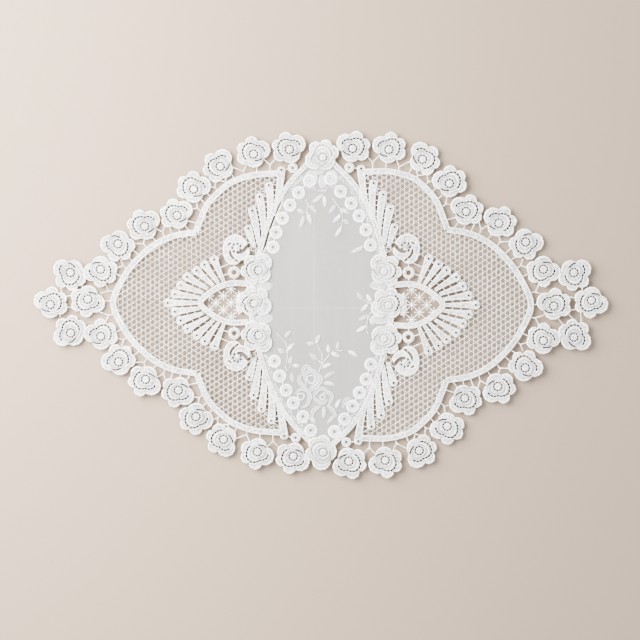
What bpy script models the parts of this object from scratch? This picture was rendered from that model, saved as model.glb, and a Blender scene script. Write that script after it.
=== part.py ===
"""Lace doily, lying flat on z = 0: a sheer organza panel between two guipure lace wings.

The lace is drafted once, for the back half of the right wing, in millimetres from the middle of
the doily: +x runs out to the point of the wing and +y to the back edge. Each half of each wing is
laid out from that draft by place(), and every motif is a flat piece of its own height, joined to
its neighbours where they touch. Run it in Blender 4.5.
"""

from collections import namedtuple
from math import atan2, cos, hypot, pi, radians, sin, sqrt

import bmesh
import bpy

MM = 0.001
CLEARANCE = 0.3

# Heights of the tops above the table, in millimetres.
ORGANZA_TOP = 1.0
NET_TOP = 1.0
BRIDE_TOP = 1.2
STAR_TOP = 1.3
PANEL_TAPE_TOP = 1.7
TAPE_TOP = 1.9
FEATHER_TOP = 1.8
PETAL_TOP = 2.0
ARCH_TOP = 2.1
RING_TOP = 1.6
CHAIN_RING_TOP = 1.7
SCROLL_TOP = 1.7
SCROLL_ARM_TOP = 2.2
ROSE_TOPS = (1.8, 2.4, 2.9)
LAP_LIFT = 0.6
MOTIF_FOOT = 0.5

# Widths, in millimetres.
TAPE_WIDTH = 4.6
PANEL_TAPE_WIDTH = 4.0
ARCH_WIDTH = 4.4
BRIDE_WIDTH = 0.9
LATTICE_WIDTH = 0.9
SLIT_WIDTH = 1.7

# The wings. The left one is the same lace turned half round: a little shorter and shallower, lying
# further back, with the roses of its point turned over in the draft and moved by the tip shifts.
Wing = namedtuple("Wing", "name hand reach depth back_shift seam_gap tip_out tip_back")
RIGHT = Wing("lace_wing_right", 1, 1.0, 1.0, 0.0, 0.3, 0.0, 0.0)
LEFT = Wing("lace_wing_left", -1, 0.99, 0.937, 1.6, 1.0, 2.1, 2.2)
FULL_DEPTH_AT = 80.0
FRONT_LEAN = 0.0002

# Roses: lobes round the rim, by angle from the notch, with the distance of each lobe's centre.
Lobe = namedtuple("Lobe", "angle distance radius")
ROSE_LOBES = (Lobe(48, 6.8, 7.2), Lobe(-22, 9.1, 5.1), Lobe(-74, 9.4, 4.7),
              Lobe(-121, 7.9, 5.5), Lobe(160, 3.1, 7.5))
ROSE_BODY = 8.6
ROSE_RIM_ANGLES = (2, 24, 48, 72, 96, 126, 160, 186, 206, 222,
                   239, 252, 261, 272, 286, 299, 313, 324, 338, 350)
ROSE_DISC = (8.2, 8)
ROSE_BOSS = (3.6, 5)

Spot = namedtuple("Spot", "x y turn")
BORDER_ROSES = (Spot(24.9, 122.7, 93), Spot(53.4, 121.9, 102), Spot(79.8, 114.3, 58),
                Spot(100.9, 95.3, 110), Spot(114.0, 73.2, 91), Spot(139.7, 64.1, 84),
                Spot(160.8, 49.4, -50), Spot(174.7, 28.0, -66), Spot(198.5, 25.3, -23))
AXIS_ROSES = (Spot(182.7, -0.9, 104), Spot(212.2, 3.6, -75))
SIDE_ROSE = Spot(49.4, 26.5, 70)
MIDDLE_ROSE = Spot(53.0, -0.4, 150)
TIP_ROSES = (("tip_rosette_top", Spot(1.5, 115.8, 150)), ("tip_rosette_bottom", Spot(2.0, -116.5, -150)))

# Tapes, by points on their centre lines.
Point = namedtuple("Point", "x y")
SHOULDER = (Point(35.4, 104.7), Point(54.3, 104.7), Point(70.0, 100.7), Point(79.5, 94.4),
            Point(90.0, 82.6), Point(96.0, 68.5), Point(99.2, 59.2))
FLANK = (Point(99.2, 59.2), Point(117.3, 55.9), Point(133.0, 48.0), Point(147.2, 34.6),
         Point(157.4, 19.7), Point(164.9, 0.0))
PANEL_EDGE = (Point(12.6, 108.4), Point(22.8, 98.4), Point(30.7, 88.1), Point(37.0, 77.1),
              Point(41.7, 65.3), Point(45.6, 53.5), Point(50.8, 33.0), Point(55.0, 12.0), Point(56.0, 0.0))
PANEL_TIP = (Point(1.5, 113.5), Point(2.0, -114.5))
NET_START = (Point(33.2, 104.7), Point(33.0, 95.0), Point(35.0, 84.0))
ARCH = (Point(57.5, 15.7), Point(69.0, 16.4), Point(77.5, 14.7), Point(86.6, 9.6), Point(95.6, 0.0))

# Fan petals and feathers: from the round head, with its width, to the root.
Petal = namedtuple("Petal", "head_x head_y root_x root_y")
FAN = (Petal(84.6, 36.2, 77.6, 17.5), Petal(92.3, 32.0, 82.5, 15.1), Petal(98.6, 27.1, 87.0, 12.3),
       Petal(106.0, 21.8, 90.9, 9.1), Petal(111.3, 14.7, 94.4, 6.7), Petal(115.8, 7.4, 97.3, 2.8),
       Petal(121.5, 0.0, 97.6, 0.0))
FAN_HEAD_WIDTH = 6.6
FAN_ROOT_WIDTH = 3.0
SLIT_SPAN = (0.08, 0.88)
Feather = namedtuple("Feather", "head_x head_y bend_x bend_y root_x root_y")
FEATHERS = (Feather(31.5, 107.0, 33.6, 88.0, 40.5, 68.0), Feather(41.3, 95.6, 41.0, 82.0, 43.8, 62.0),
            Feather(48.8, 86.6, 46.6, 70.0, 46.6, 52.0), Feather(54.5, 75.6, 51.2, 61.0, 49.0, 47.0),
            Feather(57.7, 61.2, 55.0, 52.0, 51.6, 43.0))
FEATHER_HEAD_WIDTH = 6.6
FEATHER_ROOT_WIDTH = 2.2

# Bars: from the foot on the tape to the head on a rose, or to two heads from one foot.
Bride = namedtuple("Bride", "foot_x foot_y head_x head_y")
BRIDES = (Bride(50.8, 107.0, 51.2, 111.8), Bride(68.9, 103.1, 71.2, 107.8), Bride(88.1, 89.7, 90.5, 92.1),
          Bride(91.7, 83.0, 93.7, 85.0), Bride(99.2, 66.9, 104.7, 68.5), Bride(105.1, 61.4, 107.0, 63.7),
          Bride(112.1, 59.8, 113.3, 63.7), Bride(118.1, 58.2, 120.4, 63.7), Bride(130.6, 51.2, 133.0, 54.3),
          Bride(145.2, 40.9, 148.3, 43.7), Bride(149.5, 35.4, 151.9, 37.0), Bride(159.4, 22.8, 162.9, 24.4))
Fork = namedtuple("Fork", "foot_x foot_y near_x near_y far_x far_y")
FORKS = (Fork(40.5, 106.5, 37.0, 115.7, 44.1, 115.7), Fork(60.6, 104.5, 59.0, 114.1, 68.5, 111.8),
         Fork(74.4, 98.5, 74.8, 106.2, 81.1, 101.9), Fork(81.8, 93.5, 83.4, 101.5, 88.1, 97.2),
         Fork(94.5, 77.1, 98.8, 84.2, 102.3, 78.7), Fork(124.3, 54.5, 124.3, 63.7, 130.6, 61.8),
         Fork(138.2, 45.5, 139.7, 54.3, 147.2, 49.6), Fork(154.4, 28.5, 158.2, 34.6, 162.9, 29.1),
         Fork(163.5, 9.5, 170.8, 15.3, 173.1, 8.7))
TIP_BARS = (Bride(165.3, 0.4, 170.0, 0.4), Bride(195.2, 6.3, 199.9, 5.5), Bride(196.0, -3.9, 199.9, -3.5),
            Bride(194.4, -7.1, 197.5, -10.6), Bride(203.8, -6.3, 204.2, -11.0),
            Bride(185.7, -10.2, 189.7, -15.0), Bride(205.0, 12.6, 205.0, 9.4))
BAR_OVERRUN = 1.6

# Star lattice inside the arch, and the open ground round the small ring.
LATTICE_STEP = Point(5.95, 5.8)
LATTICE_START = 71.2
STAR_CELLS = ((0, 0), (2, 0), (1, 1), (1, -1), (0, 2), (0, -2), (-1, 1), (-1, -1))
STAR = (1.9, 6)
LATTICE_BARS = (((-1, 1), (0, 2)), ((-1, -1), (0, -2)), ((-1, -1), (2, 2)), ((-1, 1), (2, -2)),
                ((0, -2), (3, 1)), ((0, 2), (3, -1)), ((1, -3), (3, -1)), ((1, 3), (3, 1)))
ARCH_HOLE_START = 62.0
OPEN_GROUND = (Point(54.5, 42.0), Point(53.0, 30.0), Point(56.0, 16.5), Point(77.0, 16.5),
               Point(82.5, 36.0), Point(76.0, 38.0), Point(67.0, 44.0))
GROUND_BARS = (Bride(57.5, 31.0, 61.5, 37.5), Bride(57.0, 25.0, 65.0, 25.3), Bride(72.0, 27.0, 79.0, 24.3),
               Bride(68.8, 28.0, 68.0, 36.0), Bride(68.8, 22.0, 69.0, 16.5), Bride(72.0, 33.5, 80.5, 30.0),
               Bride(22.3, 108.5, 24.2, 114.5), Bride(23.5, 107.6, 30.0, 107.2))

# Small motifs: centre and radius.
Round = namedtuple("Round", "x y radius")
SCROLL = Round(67.3, 44.1, 10.6)
SCROLL_BOSS = Round(66.3, 45.3, 3.4)
SCROLL_ARM_WIDTH = 3.6
ARM_STEPS = 4
SMALL_RINGS = (Round(68.8, 25.3, 5.0), Round(22.3, 107.8, 3.9))
CHAIN_RING = 5.1
Ring = namedtuple("Ring", "back_x back_y front_x front_y")
CHAIN = (Ring(7.6, 99.0, 10.6, -99.5), Ring(15.6, 89.0, 18.6, -89.7), Ring(23.8, 79.7, 24.9, -79.5),
         Ring(30.1, 69.9, 30.3, -69.0), Ring(35.5, 58.9, 35.8, -58.4), Ring(39.0, 46.8, 39.4, -46.7))
ARC_STEPS = 3


def place(wing, x, y):
    """Lay a point of the draft on a wing of the doily."""
    depth = 1.0 - (1.0 - wing.depth) * min(1.0, x / FULL_DEPTH_AT)
    lean = FRONT_LEAN * y * y if y < 0 else 0.0
    return Point(wing.hand * wing.reach * (x - lean), wing.back_shift + y * depth)


def front_half(values):
    """The same row of the draft for the front half: every y is turned over."""
    turned = {field: -value for field, value in values._asdict().items() if field.endswith(("y", "turn"))}
    return values._replace(**turned)


def both_halves(rows):
    """Each row of a draft table for the back half and for the front half, with its half's sign."""
    return [(row, 1) for row in rows] + [(front_half(row), -1) for row in rows]


def at_point(wing, rows):
    """The rows of a draft table for the point of a wing: turned over and moved for the left one."""
    if wing.hand > 0:
        return rows
    shift = {"x": wing.tip_out, "y": wing.tip_back}
    moved = []
    for row in map(front_half, rows):
        values = {field: value + shift.get(field[-1], 0.0) for field, value in row._asdict().items()}
        moved.append(row._replace(**values))
    return moved


def between(start, end, share):
    """The point a share of the way from one point to another."""
    return Point(start.x + (end.x - start.x) * share, start.y + (end.y - start.y) * share)


def smooth(knots, steps=ARC_STEPS):
    """Points on a smooth curve through the knots (Catmull-Rom), with the given steps to a span."""
    ends = [knots[0], *knots, knots[-1]]
    points = []
    for before, start, end, after in zip(ends, ends[1:], ends[2:], ends[3:]):
        for step in range(steps):
            t = step / steps
            weights = (-t + 2 * t ** 2 - t ** 3, 2 - 5 * t ** 2 + 3 * t ** 3,
                       t + 4 * t ** 2 - 3 * t ** 3, t ** 3 - t ** 2)
            points.append(Point(*(sum(w * p[axis] for w, p in zip(weights, (before, start, end, after))) / 2
                                  for axis in (0, 1))))
    return points + [Point(*knots[-1])]


def beside(path, distance):
    """The path moved sideways, to its left for a positive distance."""
    moved = []
    for index, point in enumerate(path):
        before, after = path[max(index - 1, 0)], path[min(index + 1, len(path) - 1)]
        length = hypot(after.x - before.x, after.y - before.y)
        moved.append(Point(point.x - (after.y - before.y) / length * distance,
                           point.y + (after.x - before.x) / length * distance))
    return moved


def band(path, width):
    """Outline of a tape of even width along a path."""
    return beside(path, width / 2) + beside(path, -width / 2)[::-1]


def bar(start, end, width, overrun=0.0):
    """Outline of a straight bar, longer at each end by the overrun."""
    length = hypot(end.x - start.x, end.y - start.y)
    step = Point((end.x - start.x) / length * overrun, (end.y - start.y) / length * overrun)
    return band([Point(start.x - step.x, start.y - step.y), Point(end.x + step.x, end.y + step.y)], width)


def club(path, head_width, root_width, cap_points=4):
    """Outline of a petal: a round head at the start of the path, narrowing to the root at its end."""
    last = len(path) - 1
    sides = ([], [])
    for index in range(1, last + 1):
        half = (head_width + (root_width - head_width) * (index / last) ** 1.2) / 2
        sides[0].append(beside(path, half)[index])
        sides[1].append(beside(path, -half)[index])
    along = atan2(path[0].y - path[1].y, path[0].x - path[1].x)
    radius = head_width / 2
    cap = [Point(path[0].x + radius * cos(along + pi * (step / (cap_points - 1) - 0.5)),
                 path[0].y + radius * sin(along + pi * (step / (cap_points - 1) - 0.5)))
           for step in range(cap_points)]
    return cap + sides[1] + sides[0][::-1]


def rose_reach(angle):
    """How far the rim of a rose lies from its centre, at an angle from the notch in degrees."""
    reach = ROSE_BODY
    for lobe in ROSE_LOBES:
        off = radians(angle - lobe.angle)
        across = lobe.radius ** 2 - (lobe.distance * sin(off)) ** 2
        if across > 0:
            reach = max(reach, lobe.distance * cos(off) + sqrt(across))
    return reach


def rose_rim(centre, turn, hand, grow=0.0):
    """Outline of a rose: the notch points to turn, and hand is -1 for a mirrored rose."""
    rim = []
    for angle in ROSE_RIM_ANGLES:
        reach = rose_reach(angle) + grow
        direction = radians(turn + hand * angle)
        rim.append(Point(centre.x + reach * cos(direction), centre.y + reach * sin(direction)))
    return rim


def crescent(centre, turn, hand, radius, width):
    """Outline of a scroll's arm: a tapering crescent that winds in from the rim."""
    outer, inner = [], []
    for index in range(ARM_STEPS + 1):
        share = index / ARM_STEPS
        direction = radians(turn + hand * 200 * share)
        reach = radius * (1.0 - 0.45 * share)
        thick = width * sin(pi * (0.12 + 0.76 * share))
        outer.append(Point(centre.x + reach * cos(direction), centre.y + reach * sin(direction)))
        reach -= thick
        inner.append(Point(centre.x + reach * cos(direction), centre.y + reach * sin(direction)))
    return outer + inner[::-1]


def welded(mesh):
    """Join the loose edges of a closed mesh and turn its faces outwards."""
    shape = bmesh.new()
    shape.from_mesh(mesh)
    bmesh.ops.remove_doubles(shape, verts=shape.verts, dist=0.000001)
    bmesh.ops.recalc_face_normals(shape, faces=shape.faces)
    shape.to_mesh(mesh)
    shape.free()
    return mesh


def prism(collection, outline, low, high):
    """Extrude a flat outline from one height to another, as a mesh object in the collection."""
    curve = bpy.data.curves.new("outline", "CURVE")
    curve.dimensions = "2D"
    curve.fill_mode = "BOTH"
    curve.extrude = (high - low) / 2 * MM
    spline = curve.splines.new("POLY")
    spline.points.add(len(outline) - 1)
    for knot, point in zip(spline.points, outline):
        knot.co = (point.x * MM, point.y * MM, 0.0, 1.0)
    spline.use_cyclic_u = True
    drawn = bpy.data.objects.new("outline", curve)
    drawn.location.z = (low + high) / 2 * MM
    collection.objects.link(drawn)
    bpy.context.view_layer.update()
    mesh = bpy.data.meshes.new_from_object(drawn.evaluated_get(bpy.context.evaluated_depsgraph_get()))
    solid = bpy.data.objects.new("piece", welded(mesh))
    solid.matrix_world = drawn.matrix_world
    bpy.data.objects.remove(drawn)
    collection.objects.link(solid)
    return solid


def disc(collection, centre, radius, low, high, sides, taper=0.9):
    """A round boss whose top is a little smaller than its foot."""
    shape = bmesh.new()
    bmesh.ops.create_cone(shape, cap_ends=True, segments=sides, radius1=radius * MM,
                          radius2=radius * taper * MM, depth=(high - low) * MM)
    mesh = bpy.data.meshes.new("disc")
    shape.to_mesh(mesh)
    shape.free()
    solid = bpy.data.objects.new("piece", mesh)
    solid.location = (centre.x * MM, centre.y * MM, (low + high) / 2 * MM)
    collection.objects.link(solid)
    return solid


def combine(solid, pieces, operation, solver="EXACT"):
    """Join every piece of a collection to the solid, or cut them all out of it."""
    change = solid.modifiers.new(operation, "BOOLEAN")
    change.operation = operation
    change.operand_type = "COLLECTION"
    change.collection = pieces
    change.solver = solver
    bpy.context.view_layer.update()
    mesh = bpy.data.meshes.new_from_object(solid.evaluated_get(bpy.context.evaluated_depsgraph_get()))
    solid.modifiers.remove(change)
    solid.data = mesh
    for piece in list(pieces.objects):
        bpy.data.objects.remove(piece)


def tidy_faces(solid):
    """Merge the flat faces that joining leaves in strips."""
    shape = bmesh.new()
    shape.from_mesh(solid.data)
    bmesh.ops.dissolve_limit(shape, angle_limit=radians(0.5), verts=shape.verts, edges=shape.edges)
    shape.to_mesh(solid.data)
    shape.free()


def add_rose(pieces, centre, turn, hand, lift=0.0):
    """A rose: lobed rim, inner petals and heart, each a step higher."""
    rim_top, disc_top, boss_top = (top + lift for top in ROSE_TOPS)
    prism(pieces, rose_rim(centre, turn, hand), 0.0, rim_top)
    disc(pieces, centre, ROSE_DISC[0], MOTIF_FOOT + lift, disc_top, ROSE_DISC[1])
    disc(pieces, centre, ROSE_BOSS[0], MOTIF_FOOT + 2 * lift, boss_top, ROSE_BOSS[1])


def rose_turn(wing, turn):
    """A rose's turn on a wing: the left wing is a mirror image."""
    return turn if wing.hand > 0 else 180 - turn


def add_roses(pieces, wing):
    """The border roses, the roses at the point and the three over the seam."""
    for spot, half in both_halves(BORDER_ROSES):
        add_rose(pieces, place(wing, spot.x, spot.y), rose_turn(wing, spot.turn), wing.hand * half)
    for spot in at_point(wing, AXIS_ROSES):
        add_rose(pieces, place(wing, spot.x, spot.y), rose_turn(wing, spot.turn), 1)
    for spot, half in both_halves((SIDE_ROSE,)) + [(MIDDLE_ROSE, 1)]:
        add_rose(pieces, place(wing, spot.x, spot.y), rose_turn(wing, spot.turn), wing.hand * half, LAP_LIFT)


def add_bars(pieces, wing):
    """The bars between the tape and the roses, at the point and round the small rings."""
    for bride, _ in both_halves(BRIDES + GROUND_BARS) + [(bride, 1) for bride in at_point(wing, TIP_BARS)]:
        foot, head = place(wing, bride.foot_x, bride.foot_y), place(wing, bride.head_x, bride.head_y)
        prism(pieces, bar(foot, head, BRIDE_WIDTH, BAR_OVERRUN), 0.0, BRIDE_TOP)
    for fork, _ in both_halves(FORKS):
        foot = place(wing, fork.foot_x, fork.foot_y)
        for head in (place(wing, fork.near_x, fork.near_y), place(wing, fork.far_x, fork.far_y)):
            prism(pieces, bar(foot, head, BRIDE_WIDTH, BRIDE_WIDTH), 0.0, BRIDE_TOP)


def whole_path(wing, knots):
    """A path of the draft from the back half, over the axis, to the front half of a wing."""
    back = [place(wing, knot.x, knot.y) for knot in knots]
    front = [place(wing, knot.x, -knot.y) for knot in knots[-2::-1]]
    return back + front


def add_tapes(pieces, wing):
    """The border tape in its three bows, the panel-edge tape and the arch."""
    for half in (1, -1):
        shoulder = smooth([place(wing, knot.x, half * knot.y) for knot in SHOULDER])
        prism(pieces, band(shoulder, TAPE_WIDTH), 0.0, TAPE_TOP)
    prism(pieces, band(smooth(whole_path(wing, FLANK)), TAPE_WIDTH), 0.0, TAPE_TOP + 0.05)
    prism(pieces, band(smooth(whole_path(wing, PANEL_EDGE), 2), PANEL_TAPE_WIDTH), 0.0, PANEL_TAPE_TOP)
    prism(pieces, band(smooth(whole_path(wing, ARCH), 2), ARCH_WIDTH), 0.0, ARCH_TOP)


def add_fan(pieces, wing):
    """The petals that spread from the arch, and the feathers along the panel edge."""
    for petal, _ in both_halves(FAN[:-1]) + [(FAN[-1], 1)]:
        head, root = place(wing, petal.head_x, petal.head_y), place(wing, petal.root_x, petal.root_y)
        path = [head, between(head, root, 0.5), root]
        prism(pieces, club(path, FAN_HEAD_WIDTH, FAN_ROOT_WIDTH), MOTIF_FOOT, PETAL_TOP)
    for feather, _ in both_halves(FEATHERS):
        path = [place(wing, feather.head_x, feather.head_y), place(wing, feather.bend_x, feather.bend_y),
                place(wing, feather.root_x, feather.root_y)]
        prism(pieces, club(path, FEATHER_HEAD_WIDTH, FEATHER_ROOT_WIDTH), 0.0, FEATHER_TOP)


def lattice_point(wing, column, row):
    """A crossing of the star lattice."""
    return place(wing, LATTICE_START + column * LATTICE_STEP.x, row * LATTICE_STEP.y)


def add_lattice(pieces, wing):
    """Diagonal bars inside the arch, with a star on each crossing."""
    for start, end in LATTICE_BARS:
        prism(pieces, bar(lattice_point(wing, *start), lattice_point(wing, *end), LATTICE_WIDTH, 0.5),
              0.0, BRIDE_TOP)
    for cell in STAR_CELLS:
        disc(pieces, lattice_point(wing, *cell), STAR[0], 0.0, STAR_TOP, STAR[1])


def add_small_motifs(pieces, wing):
    """The scrolls with their two arms and boss, and the eyelet rings."""
    for half in (1, -1):
        hand = wing.hand * half
        centre = place(wing, SCROLL.x, half * SCROLL.y)
        disc(pieces, centre, SCROLL.radius, 0.0, SCROLL_TOP, 12, 0.96)
        heart = place(wing, SCROLL_BOSS.x, half * SCROLL_BOSS.y)
        disc(pieces, heart, SCROLL_BOSS.radius, MOTIF_FOOT, SCROLL_ARM_TOP + 0.3, 6)
        for turn in (30, 210):
            arm = crescent(centre, rose_turn(wing, turn * half), hand, SCROLL.radius, SCROLL_ARM_WIDTH)
            prism(pieces, arm, MOTIF_FOOT, SCROLL_ARM_TOP)
        for ring in SMALL_RINGS:
            disc(pieces, place(wing, ring.x, half * ring.y), ring.radius, 0.0, RING_TOP, 8, 0.94)


def cut_ground(cutters, wing):
    """The open places of the ground: inside the arch, round the small rings, between the petals."""
    arch = smooth(whole_path(wing, ARCH), 3)
    start = place(wing, ARCH_HOLE_START, 0.0).x
    inside = [point for point in arch if abs(point.x) > abs(start)]
    hole = [Point(start, inside[0].y)] + inside + [Point(start, inside[-1].y)]
    prism(cutters, hole, -1.0, NET_TOP + 1.0)
    for half in (1, -1):
        ground = [place(wing, knot.x, half * knot.y) for knot in OPEN_GROUND]
        prism(cutters, ground, -1.0, NET_TOP + 1.0)
        for petal, after in zip(FAN, FAN[1:]):
            root = between(Point(petal.root_x, petal.root_y), Point(after.root_x, after.root_y), 0.5)
            head = between(Point(petal.head_x, petal.head_y), Point(after.head_x, after.head_y), 0.5)
            ends = [between(root, head, share) for share in SLIT_SPAN]
            slit = bar(*(place(wing, end.x, half * end.y) for end in ends), SLIT_WIDTH)
            prism(cutters, slit, -1.0, NET_TOP + 1.0)


def organza_outline(grow=0.0):
    """Outline of the panel: between the two panel-edge tapes and the two points."""
    sides = []
    for wing in (RIGHT, LEFT):
        path = smooth(whole_path(wing, PANEL_EDGE), 2)
        inset = PANEL_TAPE_WIDTH / 2 + wing.seam_gap - grow
        sides.append(beside(path, -wing.hand * inset))
    right, left = sides
    top, bottom = PANEL_TIP
    return ([Point(top.x, top.y + grow)] + right + [Point(bottom.x, bottom.y - grow)] + left[::-1])


def finish(solid, name, material, model):
    """Name a finished solid, give it its material and put it with the object's pieces."""
    tidy_faces(solid)
    for owner in list(solid.users_collection):
        owner.objects.unlink(solid)
    solid.name = name
    solid.data.name = name
    solid.data.materials.clear()
    solid.data.materials.append(material)
    model.objects.link(solid)


def organza_panel(work, model, material):
    """The sheer panel with its raised chains of eyelet rings."""
    panel = prism(model, organza_outline(), 0.0, ORGANZA_TOP)
    for wing in (RIGHT, LEFT):
        for ring in CHAIN:
            for centre in (place(wing, ring.back_x, ring.back_y), place(wing, ring.front_x, ring.front_y)):
                disc(work, centre, CHAIN_RING, MOTIF_FOOT, CHAIN_RING_TOP, 8, 0.94)
    combine(panel, work, "UNION")
    finish(panel, "organza_panel", material, model)


def lace_wing(wing, work, model, material):
    """One wing: the net ground with its openings, then everything that is worked on it."""
    outer = smooth([place(wing, knot.x, knot.y) for knot in SHOULDER])
    outer += smooth(whole_path(wing, FLANK))[1:]
    outer += smooth([place(wing, knot.x, -knot.y) for knot in SHOULDER])[-2::-1]
    inner = whole_path(wing, NET_START + PANEL_EDGE[3:])
    ground = prism(model, outer + inner[::-1], 0.0, NET_TOP)
    cut_ground(work, wing)
    combine(ground, work, "DIFFERENCE")
    add_tapes(work, wing)
    add_fan(work, wing)
    add_lattice(work, wing)
    add_small_motifs(work, wing)
    add_bars(work, wing)
    add_roses(work, wing)
    # With this many crossing pieces EXACT leaves open edges on the left wing, so these use MANIFOLD.
    combine(ground, work, "UNION", "MANIFOLD")
    prism(work, organza_outline(CLEARANCE), -1.0, ORGANZA_TOP + CLEARANCE)
    for _, spot in TIP_ROSES:
        prism(work, rose_rim(spot, spot.turn, 1, CLEARANCE), -1.0, ROSE_TOPS[2] + 1.0)
    combine(ground, work, "DIFFERENCE", "MANIFOLD")
    finish(ground, wing.name, material, model)


def tip_rosette(name, spot, work, model, material):
    """A rose sewn over a point of the panel."""
    rosette = prism(model, rose_rim(spot, spot.turn, 1), 0.0, ROSE_TOPS[0] + LAP_LIFT)
    disc(work, spot, ROSE_DISC[0], MOTIF_FOOT + LAP_LIFT, ROSE_TOPS[1] + LAP_LIFT, ROSE_DISC[1])
    disc(work, spot, ROSE_BOSS[0], MOTIF_FOOT + 2 * LAP_LIFT, ROSE_TOPS[2] + LAP_LIFT, ROSE_BOSS[1])
    combine(rosette, work, "UNION")
    prism(work, organza_outline(CLEARANCE), -1.0, ORGANZA_TOP + CLEARANCE)
    combine(rosette, work, "DIFFERENCE")
    finish(rosette, name, material, model)


def cloth(name, colour, roughness):
    """A plain fabric material."""
    material = bpy.data.materials.new(name)
    material.use_nodes = True
    surface = material.node_tree.nodes["Principled BSDF"]
    surface.inputs["Base Color"].default_value = (*colour, 1.0)
    surface.inputs["Roughness"].default_value = roughness
    surface.inputs["Metallic"].default_value = 0.0
    return material


def main():
    """Clear the scene and build the doily."""
    for old in list(bpy.data.objects):
        bpy.data.objects.remove(old)
    model = bpy.data.collections.new("lace_doily")
    work = bpy.data.collections.new("shapes_to_combine")
    for collection in (model, work):
        bpy.context.scene.collection.children.link(collection)
    lace = cloth("white_lace_thread", (0.84, 0.84, 0.83), 0.7)
    sheer = cloth("white_organza", (0.78, 0.77, 0.75), 0.5)
    organza_panel(work, model, sheer)
    for wing in (RIGHT, LEFT):
        lace_wing(wing, work, model, lace)
    for name, spot in TIP_ROSES:
        tip_rosette(name, spot, work, model, lace)
    bpy.data.collections.remove(work)


main()
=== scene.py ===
"""Dress the lace doily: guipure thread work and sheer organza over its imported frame.

Sizes are in millimetres. The lace is drafted from the middle of the doily for the back half of the
right wing: +x runs to the point of the wing and +y to the back. Wing.lay() puts a draft in place.
"""

import logging
from dataclasses import dataclass, field
from enum import Enum
from math import pi, radians

import bpy
import numpy as np
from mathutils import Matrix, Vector
from numpy.typing import ArrayLike, NDArray


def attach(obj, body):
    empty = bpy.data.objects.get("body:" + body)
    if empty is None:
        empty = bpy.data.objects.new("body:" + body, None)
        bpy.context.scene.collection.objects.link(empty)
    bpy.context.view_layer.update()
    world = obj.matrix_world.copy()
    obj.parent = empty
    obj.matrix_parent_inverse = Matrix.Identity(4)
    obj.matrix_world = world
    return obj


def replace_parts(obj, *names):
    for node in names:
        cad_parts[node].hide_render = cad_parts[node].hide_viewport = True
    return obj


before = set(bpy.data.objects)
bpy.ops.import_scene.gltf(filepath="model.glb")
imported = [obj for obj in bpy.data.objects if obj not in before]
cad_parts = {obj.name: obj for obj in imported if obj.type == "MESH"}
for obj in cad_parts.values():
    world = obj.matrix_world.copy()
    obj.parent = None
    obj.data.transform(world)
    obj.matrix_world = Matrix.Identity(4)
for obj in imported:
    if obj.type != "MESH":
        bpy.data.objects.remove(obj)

MM = 0.001
Array = NDArray[np.float64]
Mask = NDArray[np.bool_]
Table = tuple[tuple[float, ...], ...]
Colour = tuple[float, float, float, float]
FRONT = (1.0, -1.0)  # Turns draft points of the back half over to the front half.
# An opening's painted shadow shows in full at this fraction of the dash count.
MID_DASH = 0.3  # Fraction of the dash count at which an opening shows in full.
log = logging.getLogger("lace_doily")


# ---------------------------------------------------------------------------------------------
# Drafting


@dataclass(frozen=True)
class Wing:
    """One wing: how its draft is mirrored, shortened and moved into place."""

    side: str
    hand: int
    reach: float = 1.0
    depth: float = 1.0
    back_shift: float = 0.0
    tip_out: float = 0.0
    tip_back: float = 0.0
    full_depth_at: float = 80.0
    front_lean: float = 0.0002

    @property
    def is_right(self) -> bool:
        """Whether this is the right wing."""
        return self.hand > 0

    def lay(self, draft: ArrayLike) -> Array:
        """Put draft points in place.

        x is multiplied by hand and reach; y by a depth that eases in over the first 80 mm, plus
        the shift. The front half leans inwards with the square of y.

        Args:
            draft: points, with x and y last.

        Returns:
            The points on the doily, in millimetres.
        """
        spots = np.asarray(draft, float)
        x, y = spots[..., 0], spots[..., 1]
        depth = 1.0 - (1.0 - self.depth) * np.minimum(1.0, x / self.full_depth_at)
        lean = np.where(y < 0, self.front_lean * y ** 2, 0.0)
        return np.stack([self.hand * self.reach * (x - lean), self.back_shift + y * depth], -1)

    def at_point(self, draft: ArrayLike) -> Array:
        """Turn the draft of the wing's point over and move it, for the left wing alone.

        Args:
            draft: points, with x and y last.

        Returns:
            The points, still as a draft.
        """
        spots = np.asarray(draft, float)
        if self.is_right:
            return spots
        return spots * FRONT + (self.tip_out, self.tip_back)

    def turned(self, turn: ArrayLike) -> Array:
        """Angles of the draft in place, in degrees: mirrored for the left wing."""
        angle = np.asarray(turn, float)
        return angle if self.is_right else 180.0 - angle


RIGHT = Wing("right", 1)
LEFT = Wing("left", -1, reach=0.99, depth=0.937, back_shift=1.6, tip_out=2.1, tip_back=2.2)


def both_halves(draft: ArrayLike) -> Array:
    """The draft rows for the back half and, with every y turned over, for the front half."""
    spots = np.asarray(draft, float)
    return np.concatenate([spots, spots * FRONT])


def over_axis(draft: ArrayLike) -> Array:
    """A path of the back half that ends on the axis, carried on over the front half."""
    knots = np.asarray(draft, float)
    return np.concatenate([knots, (knots * FRONT)[-2::-1]])


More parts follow.
